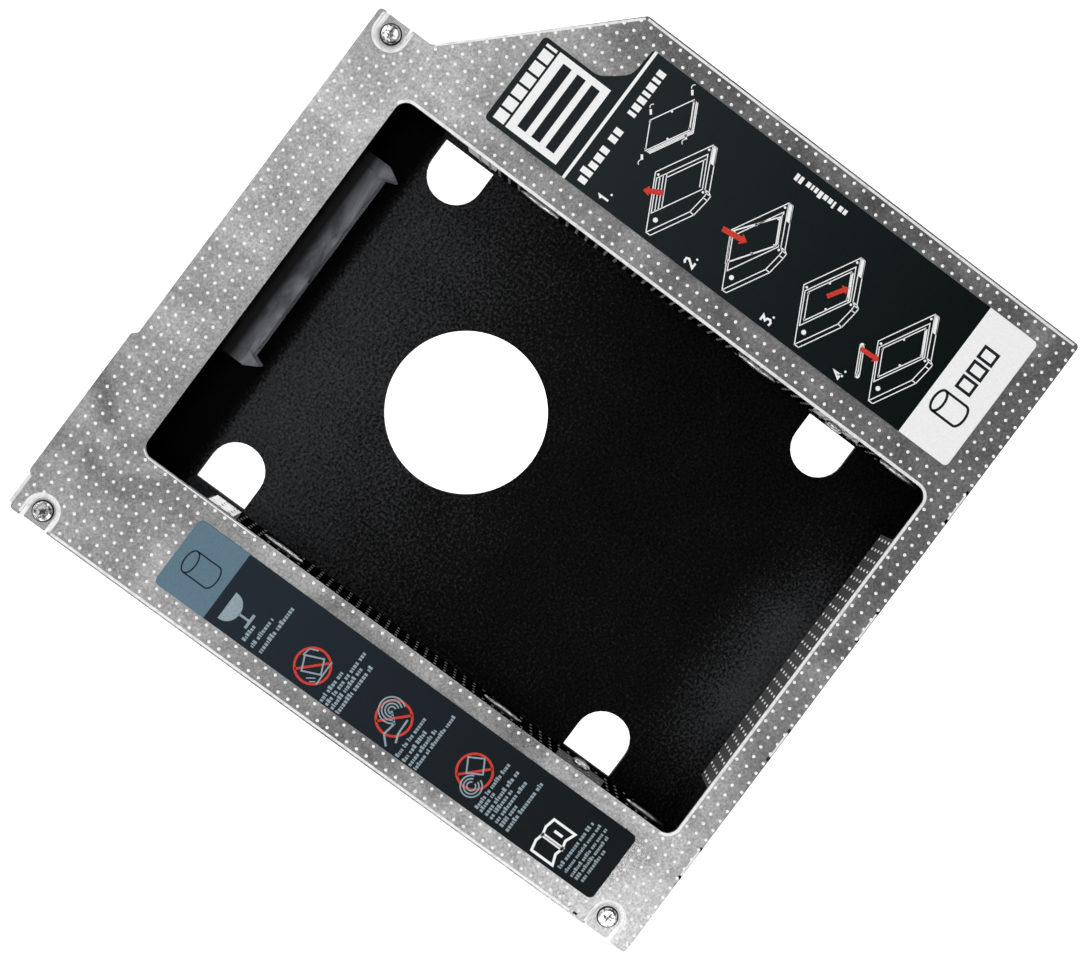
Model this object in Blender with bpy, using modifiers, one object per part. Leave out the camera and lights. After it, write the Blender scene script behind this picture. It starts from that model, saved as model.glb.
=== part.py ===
"""Slim optical-bay adapter for a 2.5 inch drive: sheet-metal housing and tray around an open drive
bay, with a small board at the rear that carries the drive's receptacle and the slimline plug.

Plan positions are in millimetres from the front left corner of the case: x to the right, y to the
rear, z up from the underside. The object's origin is the bottom centre of the whole adapter.
"""

import math

import bmesh
import bpy
from mathutils import Matrix, Vector

MM = 0.001

# Case
CASE_WIDTH = 128.0
CASE_DEPTH = 126.94
CASE_HEIGHT = 9.5
SHEET = 0.6
BEND_RADIUS = 0.5
SKIRT_FOOT = 0.3
CHAMFER_SIDE_Y = 90.9
CHAMFER_REAR = (102.6, 116.6)
REAR_TAB = (6.4, 35.9)
REAR_TAB_DEPTH = 0.92
OVERALL_DEPTH = CASE_DEPTH + REAR_TAB_DEPTH

# Drive bay
BAY_X = (20.37, 92.88)
BAY_Y = (5.55, 115.17)
BAY_CORNER = 2.2
FLANGE_FOOT = 1.3
SIDE_FLANGE_Y = (8.2, 101.9)
FRONT_FLANGE_X = (30.8, 83.1)
SPRING_Y = (10.4, 40.8, 87.0)
SPRING_SIZE = (0.65, 4.2, 1.4)
SPRING_Z = 4.4
PIN_Y = 24.0
PIN_SIZE = (0.7, 1.8, 1.6)
PIN_Z = 3.6

# Front edge, and a short slot beside the left edge: x, y and z spans
LEFT_SLOT = ((0.45, 0.85), (10.5, 11.3), (7.5, 12.0))
RELIEF_FOOT = 5.0
TAB_FIRST = 18.85
TAB_PITCH = 25.0
TAB_COUNT = 4
RELIEF_OFFSET = 2.97
RELIEF_SIZE = (0.75, 0.55)

# Corner screws: x, y and the side that the stamped recess opens to
CORNERS = {
    "rear_left": (2.6, 122.2, -1),
    "rear_right": (100.0, 123.0, 1),
    "front_left": (3.2, 5.9, -1),
}
RECESS_DEPTH = 0.7
RECESS_HALF = 2.1
RECESS_SLOPE = 0.6
POST_RADIUS = 1.7
SCREW_RADIUS = 0.8
SCREW_HEAD = (1.65, 0.55)
SCREW_GAP = 0.1
SCREW_ROOM = 0.3
CORNER_SCREW_END = 3.6
BOARD_SCREW_END = 0.25
POST_BORE_FLOOR = 2.2
CROSS = (1.0, 0.17, 0.34)

# Tray
FLOOR = 1.0
TRAY_INSET = SHEET + 0.3
TRAY_WALL_TOP = 4.0
VIEW_HOLE = (57.0, 76.0, 14.1)
NOTCH_WIDTH = 10.0
NOTCH_Y = (23.2, 101.6)
NOTCH_LEFT_X = (20.85, 30.35)
NOTCH_RIGHT_X = (83.55, 92.6)
LIP_X = {"left": (21.2, 30.4), "right": (83.5, 92.0)}
LIP_Y = (4.2, 4.7)
LIP_TOP = 8.3

# Board
BOARD_Z = (1.4, 2.4)
BOARD_X = (37.0, 96.6)
BOARD_Y = (116.8, 125.1)
BOARD_TONGUE = (43.7, 80.4, 112.8)
BOARD_SCREWS = {"left": (39.9, 121.4), "right": (94.4, 118.4)}
BOARD_PAD_RADIUS = 2.0
SEAT = 0.06

# Drive receptacle
RECEPTACLE_X = (43.65, 80.45)
RECEPTACLE_Y = (110.25, 118.4)
RECEPTACLE_Z = (2.5, 7.0)
RECEPTACLE_SLOPE = (2.9, 0.7)
HORN_WIDTH = 2.2
HORN_TIP_Y = 108.1
SLOT_Z = (3.9, 5.5)
SLOT_DEPTH = 5.2
SLOT_MARGIN = 1.25
CHANNEL_Z = (4.7, 5.15)
CONTACT_LEVEL = 5.0
SATA_PITCH = 1.27
SIGNAL_COUNT = 7
POWER_COUNT = 15
SIGNAL_FIRST_X = 46.2
POWER_FIRST_X = 60.17

# Slimline plug
PLUG_X = (73.6, 95.2)
PLUG_Y = (121.4, 123.3)
PLUG_Z = (2.5, 6.4)
PLUG_TONGUE_Z = (3.9, 5.1)
PLUG_KEY = (0.7, (3.2, 4.4))
PLUG_GUIDE = 0.8
PLUG_MARGIN = 1.1
PLUG_TONGUE_END = 126.3
PLUG_SIGNAL_FIRST_X = 76.2
PLUG_POWER_FIRST_X = 87.4
PLUG_POWER_COUNT = 6
PLUG_POWER_PITCH = 1.0
REAR_WINDOW_X = (72.6, 96.2)
REAR_WINDOW_TOP = 7.4

CONTACT_WIDTH = 0.5
CONTACT_SHEET = 0.16
CHANNEL_GAP = 0.1

# Small parts on the board: x of the middle, then length, width and height
COMPONENT_Y = 123.4
COMPONENTS = {
    "tantalum_capacitor": (48.0, (3.5, 2.8, 1.9)),
    "ceramic_capacitor_1": (53.2, (3.2, 1.6, 1.2)),
    "ceramic_capacitor_2": (58.2, (3.2, 1.6, 1.2)),
    "chip_resistor": (62.8, (2.0, 1.25, 0.55)),
}

# Labels
LABEL_SHEET = 0.12
LABEL_SEAT = 0.03
LEFT_LABEL = (4.1, 17.2, 10.1, 100.6)
RIGHT_LABEL = (98.2, 124.0, 5.95, 102.55)
RIGHT_LABEL_STEP = (115.05, 91.6, 86.9)

# How far cutters run past the sheet, and how deep joined pieces run into each other
BELOW = -3.0
ABOVE = 14.0
REAR_SKIN = (CASE_DEPTH - 3.0, CASE_DEPTH + 4.0)
OVERLAP = 0.3

ARC_STEP = math.radians(15)

ROOT_NAME = "drive_bay_adapter"


# ---------------------------------------------------------------- scene and helpers


def clear_scene():
    for obj in list(bpy.data.objects):
        bpy.data.objects.remove(obj, do_unlink=True)


def new_collection(name, hidden=False):
    collection = bpy.data.collections.new(name)
    bpy.context.scene.collection.children.link(collection)
    collection.hide_render = hidden
    return collection


def place(x, y, z=0.0):
    """Case millimetres to scene metres, with the origin at the bottom centre."""
    return Vector(((x - CASE_WIDTH / 2) * MM, (y - OVERALL_DEPTH / 2) * MM, z * MM))


def material(name, colour, roughness, metallic=0.0):
    made = bpy.data.materials.new(name)
    made.use_nodes = True
    shader = made.node_tree.nodes["Principled BSDF"]
    shader.inputs["Base Color"].default_value = (*colour, 1.0)
    shader.inputs["Roughness"].default_value = roughness
    shader.inputs["Metallic"].default_value = metallic
    return made


def add_object(name, mesh, matrix=None):
    obj = bpy.data.objects.new(name, mesh)
    PARTS.objects.link(obj)
    if matrix is not None:
        obj.matrix_world = matrix
    return obj


def finish_part(obj, finish):
    obj.data.materials.clear()
    obj.data.materials.append(finish)
    obj.data.shade_smooth()
    obj.data.set_sharp_from_angle(angle=math.radians(30))
    obj.parent = ROOT
    return obj


def make_cutter(obj):
    """Moves an object to the hidden collection of cutters."""
    PARTS.objects.unlink(obj)
    CUTTERS.objects.link(obj)
    obj.hide_render = True
    obj.display_type = "WIRE"
    return obj


def boolean(obj, other, operation):
    modifier = obj.modifiers.new(f"{operation.lower()}_{other.name}"[:60], "BOOLEAN")
    modifier.operation = operation
    modifier.solver = "EXACT"
    modifier.object = make_cutter(other)


def cut(obj, *others):
    for other in others:
        boolean(obj, other, "DIFFERENCE")


def join(obj, *others):
    for other in others:
        boolean(obj, other, "UNION")


def evaluated_mesh(obj):
    bpy.context.view_layer.update()
    graph = bpy.context.evaluated_depsgraph_get()
    return bpy.data.meshes.new_from_object(obj.evaluated_get(graph), depsgraph=graph)


def bake(obj):
    """Replaces the mesh with its evaluated result and drops the modifiers."""
    mesh = evaluated_mesh(obj)
    obj.modifiers.clear()
    obj.data = mesh


def box(name, x, y, z):
    """A box from (low, high) pairs."""
    centre = place(sum(x) / 2, sum(y) / 2, sum(z) / 2)
    size = Vector((x[1] - x[0], y[1] - y[0], z[1] - z[0])) * MM
    bm = bmesh.new()
    bmesh.ops.create_cube(bm, size=1.0, matrix=Matrix.Diagonal((*size, 1.0)))
    mesh = bpy.data.meshes.new(name)
    bm.to_mesh(mesh)
    bm.free()
    return add_object(name, mesh, Matrix.Translation(centre))


def boxes(name, spans):
    """Several separate boxes in one mesh, as a cutter for a row of openings."""
    bm = bmesh.new()
    for x, y, z in spans:
        centre = place(sum(x) / 2, sum(y) / 2, sum(z) / 2)
        size = Vector((x[1] - x[0], y[1] - y[0], z[1] - z[0])) * MM
        matrix = Matrix.Translation(centre) @ Matrix.Diagonal((*size, 1.0))
        bmesh.ops.create_cube(bm, size=1.0, matrix=matrix)
    mesh = bpy.data.meshes.new(name)
    bm.to_mesh(mesh)
    bm.free()
    return add_object(name, mesh)


def cylinder(name, x, y, z, radius, segments=32):
    bm = bmesh.new()
    height = (z[1] - z[0]) * MM
    bmesh.ops.create_cone(
        bm,
        cap_ends=True,
        segments=segments,
        radius1=radius * MM,
        radius2=radius * MM,
        depth=height,
    )
    mesh = bpy.data.meshes.new(name)
    bm.to_mesh(mesh)
    bm.free()
    return add_object(name, mesh, Matrix.Translation(place(x, y, sum(z) / 2)))


def bulge(name, x, y, z, half_size):
    """A pressed oval boss, as an ellipsoid of the given half sizes."""
    bm = bmesh.new()
    scale = Matrix.Diagonal((*(Vector(half_size) * MM), 1.0))
    bmesh.ops.create_uvsphere(bm, u_segments=16, v_segments=10, radius=1.0, matrix=scale)
    mesh = bpy.data.meshes.new(name)
    bm.to_mesh(mesh)
    bm.free()
    return add_object(name, mesh, Matrix.Translation(place(x, y, z)))


def rounded(corners):
    """The points of a closed outline from its corners (x, y, radius), taken counter-clockwise."""
    points = []
    for index, (x, y, radius) in enumerate(corners):
        here = Vector((x, y))
        before = (Vector(corners[index - 1][:2]) - here).normalized()
        after = (Vector(corners[(index + 1) % len(corners)][:2]) - here).normalized()
        if radius <= 0:
            points.append(here)
            continue
        half = before.angle(after) / 2
        start = here + before * (radius / math.tan(half))
        end = here + after * (radius / math.tan(half))
        centre = here + (before + after).normalized() * (radius / math.sin(half))
        first, last = start - centre, end - centre
        turn = first.angle_signed(last)
        steps = max(2, math.ceil(abs(turn) / ARC_STEP))
        for step in range(steps + 1):
            angle = -turn * step / steps
            arm = Matrix.Rotation(angle, 2) @ first
            points.append(centre + arm)
    return points


def inset(corners, distance):
    """The same outline moved inwards; its corners stay sharp."""
    moved = []
    for index, corner in enumerate(corners):
        here = Vector(corner[:2])
        into = (here - Vector(corners[index - 1][:2])).normalized()
        away = (Vector(corners[(index + 1) % len(corners)][:2]) - here).normalized()
        normal_in = Vector((-into.y, into.x))
        normal_out = Vector((-away.y, away.x))
        shift = (normal_in + normal_out) * distance / (1 + normal_in.dot(normal_out))
        moved.append((here.x + shift.x, here.y + shift.y, 0.0))
    return moved


def flat_curve(name, points, half_height, slope=0.0):
    """A filled outline as a welded mesh about z = 0; a slope widens it away from its two faces."""
    curve = bpy.data.curves.new(name, "CURVE")
    curve.dimensions = "2D"
    curve.fill_mode = "BOTH"
    curve.extrude = half_height * MM
    curve.bevel_depth = slope * MM
    curve.bevel_resolution = 0
    spline = curve.splines.new("POLY")
    spline.points.add(len(points) - 1)
    for point, (x, y) in zip(spline.points, points):
        point.co = (x * MM, y * MM, 0.0, 1.0)
    spline.use_cyclic_u = True
    guide = bpy.data.objects.new(name, curve)
    PARTS.objects.link(guide)
    mesh = evaluated_mesh(guide)
    bpy.data.objects.remove(guide, do_unlink=True)
    bm = bmesh.new()
    bm.from_mesh(mesh)
    bmesh.ops.remove_doubles(bm, verts=bm.verts, dist=1e-7)
    bmesh.ops.recalc_face_normals(bm, faces=bm.faces)
    bm.to_mesh(mesh)
    bm.free()
    return mesh


def plate(name, corners, z, slope=0.0):
    """A flat outline in plan from z[0] to z[1]."""
    points = [(p.x - CASE_WIDTH / 2, p.y - OVERALL_DEPTH / 2) for p in rounded(corners)]
    mesh = flat_curve(name, points, (z[1] - z[0]) / 2 - slope, slope)
    return add_object(name, mesh, Matrix.Translation((0, 0, sum(z) / 2 * MM)))


def side_profile(name, corners, x):
    """A flat outline in the y-z plane, from x[0] to x[1]."""
    points = [(p.x - OVERALL_DEPTH / 2, p.y) for p in rounded(corners)]
    mesh = flat_curve(name, points, (x[1] - x[0]) / 2)
    turn = Matrix(((0, 0, 1, 0), (1, 0, 0, 0), (0, 1, 0, 0), (0, 0, 0, 1)))
    middle = Matrix.Translation(((sum(x) / 2 - CASE_WIDTH / 2) * MM, 0, 0))
    return add_object(name, mesh, middle @ turn)


def turned(name, profile, x, y, steps=28):
    """A turned piece from (radius, z) points, listed from the top axis down the outer side."""
    mesh = bpy.data.meshes.new(name)
    bm = bmesh.new()
    ring = [bm.verts.new((radius * MM, 0.0, z * MM)) for radius, z in profile]
    for first, second in zip(ring, ring[1:]):
        bm.edges.new((first, second))
    bm.to_mesh(mesh)
    bm.free()
    obj = add_object(name, mesh, Matrix.Translation(place(x, y)))
    screw = obj.modifiers.new("turn", "SCREW")
    screw.axis = "Z"
    screw.steps = screw.render_steps = steps
    screw.use_merge_vertices = True
    screw.merge_threshold = 0.000001
    return obj


def round_top_edges(obj, z):
    """Rounds the outer edges that lie at height z, as the bends of the sheet do."""
    bm = bmesh.new()
    bm.from_mesh(obj.data)
    weight = bm.edges.layers.float.new("bevel_weight_edge")
    base = obj.matrix_world.translation.z
    for edge in bm.edges:
        at_top = all(abs(v.co.z + base - z * MM) < 0.01 * MM for v in edge.verts)
        if at_top and len(edge.link_faces) == 2 and edge.calc_face_angle() > 1.0:
            edge[weight] = 1.0
    bm.to_mesh(obj.data)
    bm.free()
    bevel = obj.modifiers.new("bend", "BEVEL")
    bevel.limit_method = "WEIGHT"
    bevel.width = BEND_RADIUS * MM
    bevel.segments = 3
    bake(obj)


# ---------------------------------------------------------------- case


def case_corners():
    return [
        (0, 0, 0.8),
        (CASE_WIDTH, 0, 0.8),
        (CASE_WIDTH, CHAMFER_SIDE_Y, 0.8),
        (*CHAMFER_REAR, 0.8),
        (CHAMFER_REAR[0], CASE_DEPTH, 0.8),
        (0, CASE_DEPTH, 0.8),
    ]


def bay_corners(grow=0.0):
    low_x, high_x = BAY_X[0] - grow, BAY_X[1] + grow
    low_y, high_y = BAY_Y[0] - grow, BAY_Y[1] + grow
    radius = BAY_CORNER + grow
    return [
        (low_x, low_y, radius),
        (high_x, low_y, radius),
        (high_x, high_y, radius),
        (low_x, high_y, radius),
    ]


def recess_corners(x, y, side, half):
    """A U with a round end around the screw, running out past the edge that it opens to."""
    open_end = x + side * 8.0
    round_end = x - side * half
    corners = [
        (open_end, y - half, 0.0),
        (open_end, y + half, 0.0),
        (round_end, y + half, half * 0.96),
        (round_end, y - half, half * 0.96),
    ]
    return corners if side > 0 else corners[::-1]


def add_screw_recess(housing, name, x, y, side):
    """A stamped pocket: its floor keeps the sheet's thickness below the case's top."""
    floor_top = CASE_HEIGHT - RECESS_DEPTH
    outer = RECESS_HALF + SHEET
    pad_z = (floor_top - SHEET, floor_top + OVERLAP)
    pad = plate(f"{name}_pad", recess_corners(x, y, side, outer), pad_z)
    middle = CASE_WIDTH / 2
    inside = (OVERLAP, middle) if side < 0 else (middle, CHAMFER_REAR[0] - OVERLAP)
    keep = box(f"{name}_keep", inside, (0, CASE_DEPTH), (0, CASE_HEIGHT))
    boolean(pad, keep, "INTERSECT")
    bake(pad)
    join(housing, pad)
    pocket = plate(
        f"{name}_pocket",
        recess_corners(x, y, side, RECESS_HALF),
        (floor_top, ABOVE),
        RECESS_SLOPE,
    )
    hole = cylinder(f"{name}_hole", x, y, (BELOW, ABOVE), SCREW_RADIUS + SCREW_ROOM, 24)
    cut(housing, pocket, hole)


def hollow_cutter():
    """What is removed under the sheet: everything inside the skirts but a wall round the bay."""
    under = (BELOW, CASE_HEIGHT - SHEET)
    cavity = plate("case_hollow", inset(case_corners(), SHEET), under)
    wall = plate("bay_wall", bay_corners(SHEET), (BELOW - 1, ABOVE))
    cut(cavity, wall)
    bake(cavity)
    return cavity


def flange_cutters():
    """Clears the bay wall where the sheet has no flange, and shortens the flanges."""
    under = (BELOW, CASE_HEIGHT - SHEET)
    reach = 2 * SHEET
    left, right = BAY_X[0] - reach, BAY_X[1] + reach
    front, rear = BAY_Y[0] - reach, BAY_Y[1] + reach
    return [
        box("rear_gap", (left, right), (SIDE_FLANGE_Y[1], rear), under),
        box("front_left_gap", (left, FRONT_FLANGE_X[0]), (front, SIDE_FLANGE_Y[0]), under),
        box("front_right_gap", (FRONT_FLANGE_X[1], right), (front, SIDE_FLANGE_Y[0]), under),
        box("flange_foot", (left, right), (front, rear), (BELOW, FLANGE_FOOT)),
    ]


def front_reliefs():
    """Square notches at both sides of each bent tab on the front edge."""
    width, depth = RELIEF_SIZE
    spans = []
    for index in range(TAB_COUNT):
        for side in (-1, 1):
            x = TAB_FIRST + TAB_PITCH * index + side * RELIEF_OFFSET
            spans.append(((x - width / 2, x + width / 2), (-1, depth), (RELIEF_FOOT, ABOVE)))
    return boxes("front_reliefs", spans)


def rear_tab():
    low, high = REAR_TAB
    end = CASE_DEPTH + REAR_TAB_DEPTH
    corners = [
        (low, CASE_DEPTH - 1, 0.0),
        (high, CASE_DEPTH - 1, 0.0),
        (high, CASE_DEPTH, 0.0),
        (high - 0.9, end, 0.4),
        (low + 0.7, end, 0.2),
        (low, end - 0.6, 0.0),
    ]
    return plate("rear_tab", corners, (CASE_HEIGHT - SHEET, CASE_HEIGHT - 0.02))


def pressed_springs():
    """Oval bosses that press on the drive's sides, and the two pins for its side holes."""
    made = []
    for side, x in (("left", BAY_X[0]), ("right", BAY_X[1])):
        for index, y in enumerate(SPRING_Y):
            made.append(bulge(f"{side}_spring_{index + 1}", x, y, SPRING_Z, SPRING_SIZE))
        made.append(bulge(f"{side}_pin", x, PIN_Y, PIN_Z, PIN_SIZE))
    return made


def make_top_housing(finish):
    housing = plate("top_housing", case_corners(), (SKIRT_FOOT, CASE_HEIGHT))
    cut(housing, plate("bay_opening", bay_corners(), (BELOW, ABOVE)))
    bake(housing)
    round_top_edges(housing, CASE_HEIGHT)
    cut(housing, hollow_cutter(), *flange_cutters(), front_reliefs())
    cut(housing, box("left_slot", *LEFT_SLOT))
    cut(housing, box("plug_window", REAR_WINDOW_X, REAR_SKIN, (BELOW, REAR_WINDOW_TOP)))
    join(housing, rear_tab(), *pressed_springs())
    for name, (x, y, side) in CORNERS.items():
        add_screw_recess(housing, f"recess_{name}", x, y, side)
    bake(housing)
    return finish_part(housing, finish)


# ---------------------------------------------------------------- tray


def notch_corners(straight_x, tip_x, y):
    """A D-shaped window: straight beside the bay's wall, round towards the middle."""
    half = NOTCH_WIDTH / 2
    corners = [
        (straight_x, y - half, 0.0),
        (tip_x, y - half, half * 0.98),
        (tip_x, y + half, half * 0.98),
        (straight_x, y + half, 0.0),
    ]
    return corners if tip_x > straight_x else corners[::-1]


def tray_windows():
    through = (BELOW, FLOOR + 1)
    made = [cylinder("view_hole", *VIEW_HOLE[:2], through, VIEW_HOLE[2], 72)]
    for index, y in enumerate(NOTCH_Y):
        left = notch_corners(*NOTCH_LEFT_X, y)
        right = notch_corners(*NOTCH_RIGHT_X[::-1], y)
        made.append(plate(f"left_notch_{index + 1}", left, through))
        made.append(plate(f"right_notch_{index + 1}", right, through))
    return made


def make_bottom_tray(finish):
    tray = plate("bottom_tray", inset(case_corners(), TRAY_INSET), (0, TRAY_WALL_TOP))
    inner = inset(case_corners(), TRAY_INSET + SHEET)
    above_floor = (FLOOR, ABOVE)
    cut(tray, plate("tray_hollow", inner, above_floor), *tray_windows())
    cut(tray, box("tray_plug_window", REAR_WINDOW_X, REAR_SKIN, above_floor))
    for name, (x, y, _) in CORNERS.items():
        room = POST_RADIUS + SCREW_ROOM
        cut(tray, cylinder(f"{name}_post_room", x, y, above_floor, room, 24))
    for name, lip_x in LIP_X.items():
        join(tray, box(f"{name}_lip", lip_x, LIP_Y, (FLOOR - OVERLAP, LIP_TOP)))
    for name, (x, y) in BOARD_SCREWS.items():
        pad_z = (FLOOR - OVERLAP, BOARD_Z[0] - SEAT)
        join(tray, cylinder(f"{name}_pad", x, y, pad_z, BOARD_PAD_RADIUS, 24))
    for name, (x, y) in BOARD_SCREWS.items():
        bore = SCREW_RADIUS + SCREW_GAP
        cut(tray, cylinder(f"{name}_pad_hole", x, y, (BELOW, ABOVE), bore, 24))
    bake(tray)
    return finish_part(tray, finish)


# ---------------------------------------------------------------- fasteners


def cross_recess(name, x, y, top):
    """The cutter for a cross-shaped drive in a screw's head."""
    arm, half, depth = CROSS
    span = (top - depth, top + 1)
    long_way = box(f"{name}_cross", (x - arm, x + arm), (y - half, y + half), span)
    join(long_way, box(f"{name}_arm", (x - half, x + half), (y - arm, y + arm), span))
    bake(long_way)
    return long_way


def make_screw(name, x, y, seat, shank_end, finish):
    radius, height = SCREW_HEAD
    top = seat + height
    profile = [
        (0, top),
        (radius * 0.72, top),
        (radius * 0.93, top - 0.12),
        (radius, top - 0.32),
        (radius, seat),
        (SCREW_RADIUS, seat),
        (SCREW_RADIUS, shank_end + 0.4),
        (SCREW_RADIUS * 0.6, shank_end),
        (0, shank_end),
    ]
    screw = turned(name, profile, x, y)
    cut(screw, cross_recess(name, x, y, top))
    bake(screw)
    return finish_part(screw, finish)


def make_post(name, x, y, finish):
    """A pressed-in threaded standoff between the tray and the housing's recess."""
    top = CASE_HEIGHT - RECESS_DEPTH - SHEET - SEAT
    bore = SCREW_RADIUS + SCREW_GAP
    profile = [
        (0, POST_BORE_FLOOR),
        (bore, POST_BORE_FLOOR),
        (bore, top),
        (POST_RADIUS - 0.2, top),
        (POST_RADIUS, top - 0.2),
        (POST_RADIUS, FLOOR + SEAT),
        (0, FLOOR + SEAT),
    ]
    post = turned(name, profile, x, y)
    bake(post)
    return finish_part(post, finish)


def make_fasteners(steel):
    for name, (x, y, _) in CORNERS.items():
        make_post(f"corner_post_{name}", x, y, steel)
        seat = CASE_HEIGHT - RECESS_DEPTH + SEAT
        make_screw(f"corner_screw_{name}", x, y, seat, CORNER_SCREW_END, steel)
    for name, (x, y) in BOARD_SCREWS.items():
        make_screw(f"board_screw_{name}", x, y, BOARD_Z[1] + SEAT, BOARD_SCREW_END, steel)


# ---------------------------------------------------------------- board and its parts


def make_board(finish):
    tongue_low, tongue_high, tongue_y = BOARD_TONGUE
    corners = [
        (BOARD_X[0], BOARD_Y[0], 0.6),
        (BOARD_X[1], BOARD_Y[0], 0.6),
        (BOARD_X[1], BOARD_Y[1], 0.6),
        (BOARD_X[0], BOARD_Y[1], 0.6),
    ]
    board = plate("adapter_board", corners, BOARD_Z)
    tongue = box("board_tongue", (tongue_low, tongue_high), (tongue_y, BOARD_Y[0] + 2), BOARD_Z)
    join(board, tongue)
    for name, (x, y) in BOARD_SCREWS.items():
        bore = SCREW_RADIUS + SCREW_ROOM
        cut(board, cylinder(f"{name}_board_hole", x, y, (BELOW, ABOVE), bore, 24))
    bake(board)
    return finish_part(board, finish)


def contact_xs(first, count, pitch):
    return [first + pitch * index for index in range(count)]


def channel_spans(xs, y, z):
    half = CONTACT_WIDTH / 2 + CHANNEL_GAP
    return [((x - half, x + half), y, z) for x in xs]


def horn(name, inner_x, side):
    """A pointed guide arm that leads the drive's plug in."""
    outer_x = inner_x + side * HORN_WIDTH
    front = RECEPTACLE_Y[0]
    corners = [
        (inner_x - side * 0.4, front + 0.6, 0.0),
        (inner_x, front, 0.0),
        (inner_x + side * 0.8, HORN_TIP_Y, 0.25),
        (outer_x, front + 0.3, 0.2),
        (outer_x, RECEPTACLE_Y[1], 0.2),
        (inner_x - side * 0.4, RECEPTACLE_Y[1], 0.0),
    ]
    if side < 0:
        corners = corners[::-1]
    return plate(name, corners, (RECEPTACLE_Z[0], RECEPTACLE_Z[1] - 0.3))


def receptacle_slot(name, first, count):
    """The slot for one tongue of the drive's plug, with the step of its L-shaped key."""
    low = first - SLOT_MARGIN
    high = first + SATA_PITCH * (count - 1) + SLOT_MARGIN
    depth = (RECEPTACLE_Y[0] - 1, RECEPTACLE_Y[0] + SLOT_DEPTH)
    slot = box(name, (low, high), depth, SLOT_Z)
    key_x = (low + 0.05, low + 0.85)
    join(slot, box(f"{name}_key", key_x, depth, (SLOT_Z[0] - 0.8, SLOT_Z[1] - 0.3)))
    bake(slot)
    return slot


def make_receptacle(finish):
    low_y, high_y = RECEPTACLE_Y
    low_z, high_z = RECEPTACLE_Z
    run, fall = RECEPTACLE_SLOPE
    corners = [
        (low_y, low_z, 0.15),
        (high_y, low_z, 0.15),
        (high_y, high_z, 0.15),
        (low_y + run, high_z, 0.6),
        (low_y, high_z - fall, 0.15),
    ]
    body = side_profile("drive_receptacle", corners, RECEPTACLE_X)
    join(body, horn("left_horn", RECEPTACLE_X[0], -1), horn("right_horn", RECEPTACLE_X[1], 1))
    bake(body)
    cut(body, receptacle_slot("signal_slot", SIGNAL_FIRST_X, SIGNAL_COUNT))
    cut(body, receptacle_slot("power_slot", POWER_FIRST_X, POWER_COUNT))
    xs = contact_xs(SIGNAL_FIRST_X, SIGNAL_COUNT, SATA_PITCH)
    xs += contact_xs(POWER_FIRST_X, POWER_COUNT, SATA_PITCH)
    channel_y = (low_y + SLOT_DEPTH - 0.2, high_y + 1)
    cut(body, boxes("contact_channels", channel_spans(xs, channel_y, CHANNEL_Z)))
    bake(body)
    return finish_part(body, finish)


def receptacle_contact(name, x, finish):
    """A spring strip in the slot, led through the back and down to the board."""
    front, back = RECEPTACLE_Y
    pad = BOARD_Z[1] + SEAT
    strip = CONTACT_SHEET
    level = CONTACT_LEVEL
    corners = [
        (front + 0.5, level - 0.35, 0.0),
        (front + 1.1, level - 0.62, 0.1),
        (front + 2.6, level, 0.3),
        (back + 0.42, level, 0.2),
        (back + 0.42, pad + strip, 0.0),
        (back + 1.3, pad + strip, 0.0),
        (back + 1.3, pad, 0.0),
        (back + 0.42 - strip, pad, 0.0),
        (back + 0.42 - strip, level - strip, 0.0),
        (front + 2.64, level - strip, 0.15),
        (front + 1.1, level - 0.62 - strip, 0.1),
        (front + 0.44, level - 0.35 - strip, 0.0),
    ]
    half = CONTACT_WIDTH / 2
    return finish_part(side_profile(name, corners[::-1], (x - half, x + half)), finish)


def plug_tongue(plug, name, first_x, last_x, y):
    """One tongue of the plug with the rib of its L-shaped key."""
    low, high = first_x - PLUG_MARGIN, last_x + PLUG_MARGIN
    key_width, key_z = PLUG_KEY
    tongue = box(f"{name}_tongue", (low, high), y, PLUG_TONGUE_Z)
    join(plug, tongue, box(f"{name}_key", (high - key_width, high), y, key_z))


def make_plug(finish):
    low_x, high_x = PLUG_X
    rear = PLUG_Y[1]
    plug = box("slimline_plug", PLUG_X, PLUG_Y, PLUG_Z)
    guide_y = (rear - OVERLAP, PLUG_TONGUE_END - 0.3)
    left_guide = box("left_guide", (low_x, low_x + PLUG_GUIDE), guide_y, PLUG_Z)
    right_guide = box("right_guide", (high_x - PLUG_GUIDE, high_x), guide_y, PLUG_Z)
    join(plug, left_guide, right_guide)
    signal_xs = contact_xs(PLUG_SIGNAL_FIRST_X, SIGNAL_COUNT, SATA_PITCH)
    power_xs = contact_xs(PLUG_POWER_FIRST_X, PLUG_POWER_COUNT, PLUG_POWER_PITCH)
    tongue_y = (rear - OVERLAP, PLUG_TONGUE_END)
    plug_tongue(plug, "signal", signal_xs[0], signal_xs[-1], tongue_y)
    plug_tongue(plug, "power", power_xs[0], power_xs[-1], tongue_y)
    bake(plug)
    channel_y = (PLUG_Y[0] - 1, rear + 0.2)
    channel_z = (PLUG_TONGUE_Z[1] - 0.01, PLUG_TONGUE_Z[1] + 0.35)
    spans = channel_spans(signal_xs + power_xs, channel_y, channel_z)
    cut(plug, boxes("plug_channels", spans))
    bake(plug)
    return finish_part(plug, finish)


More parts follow.
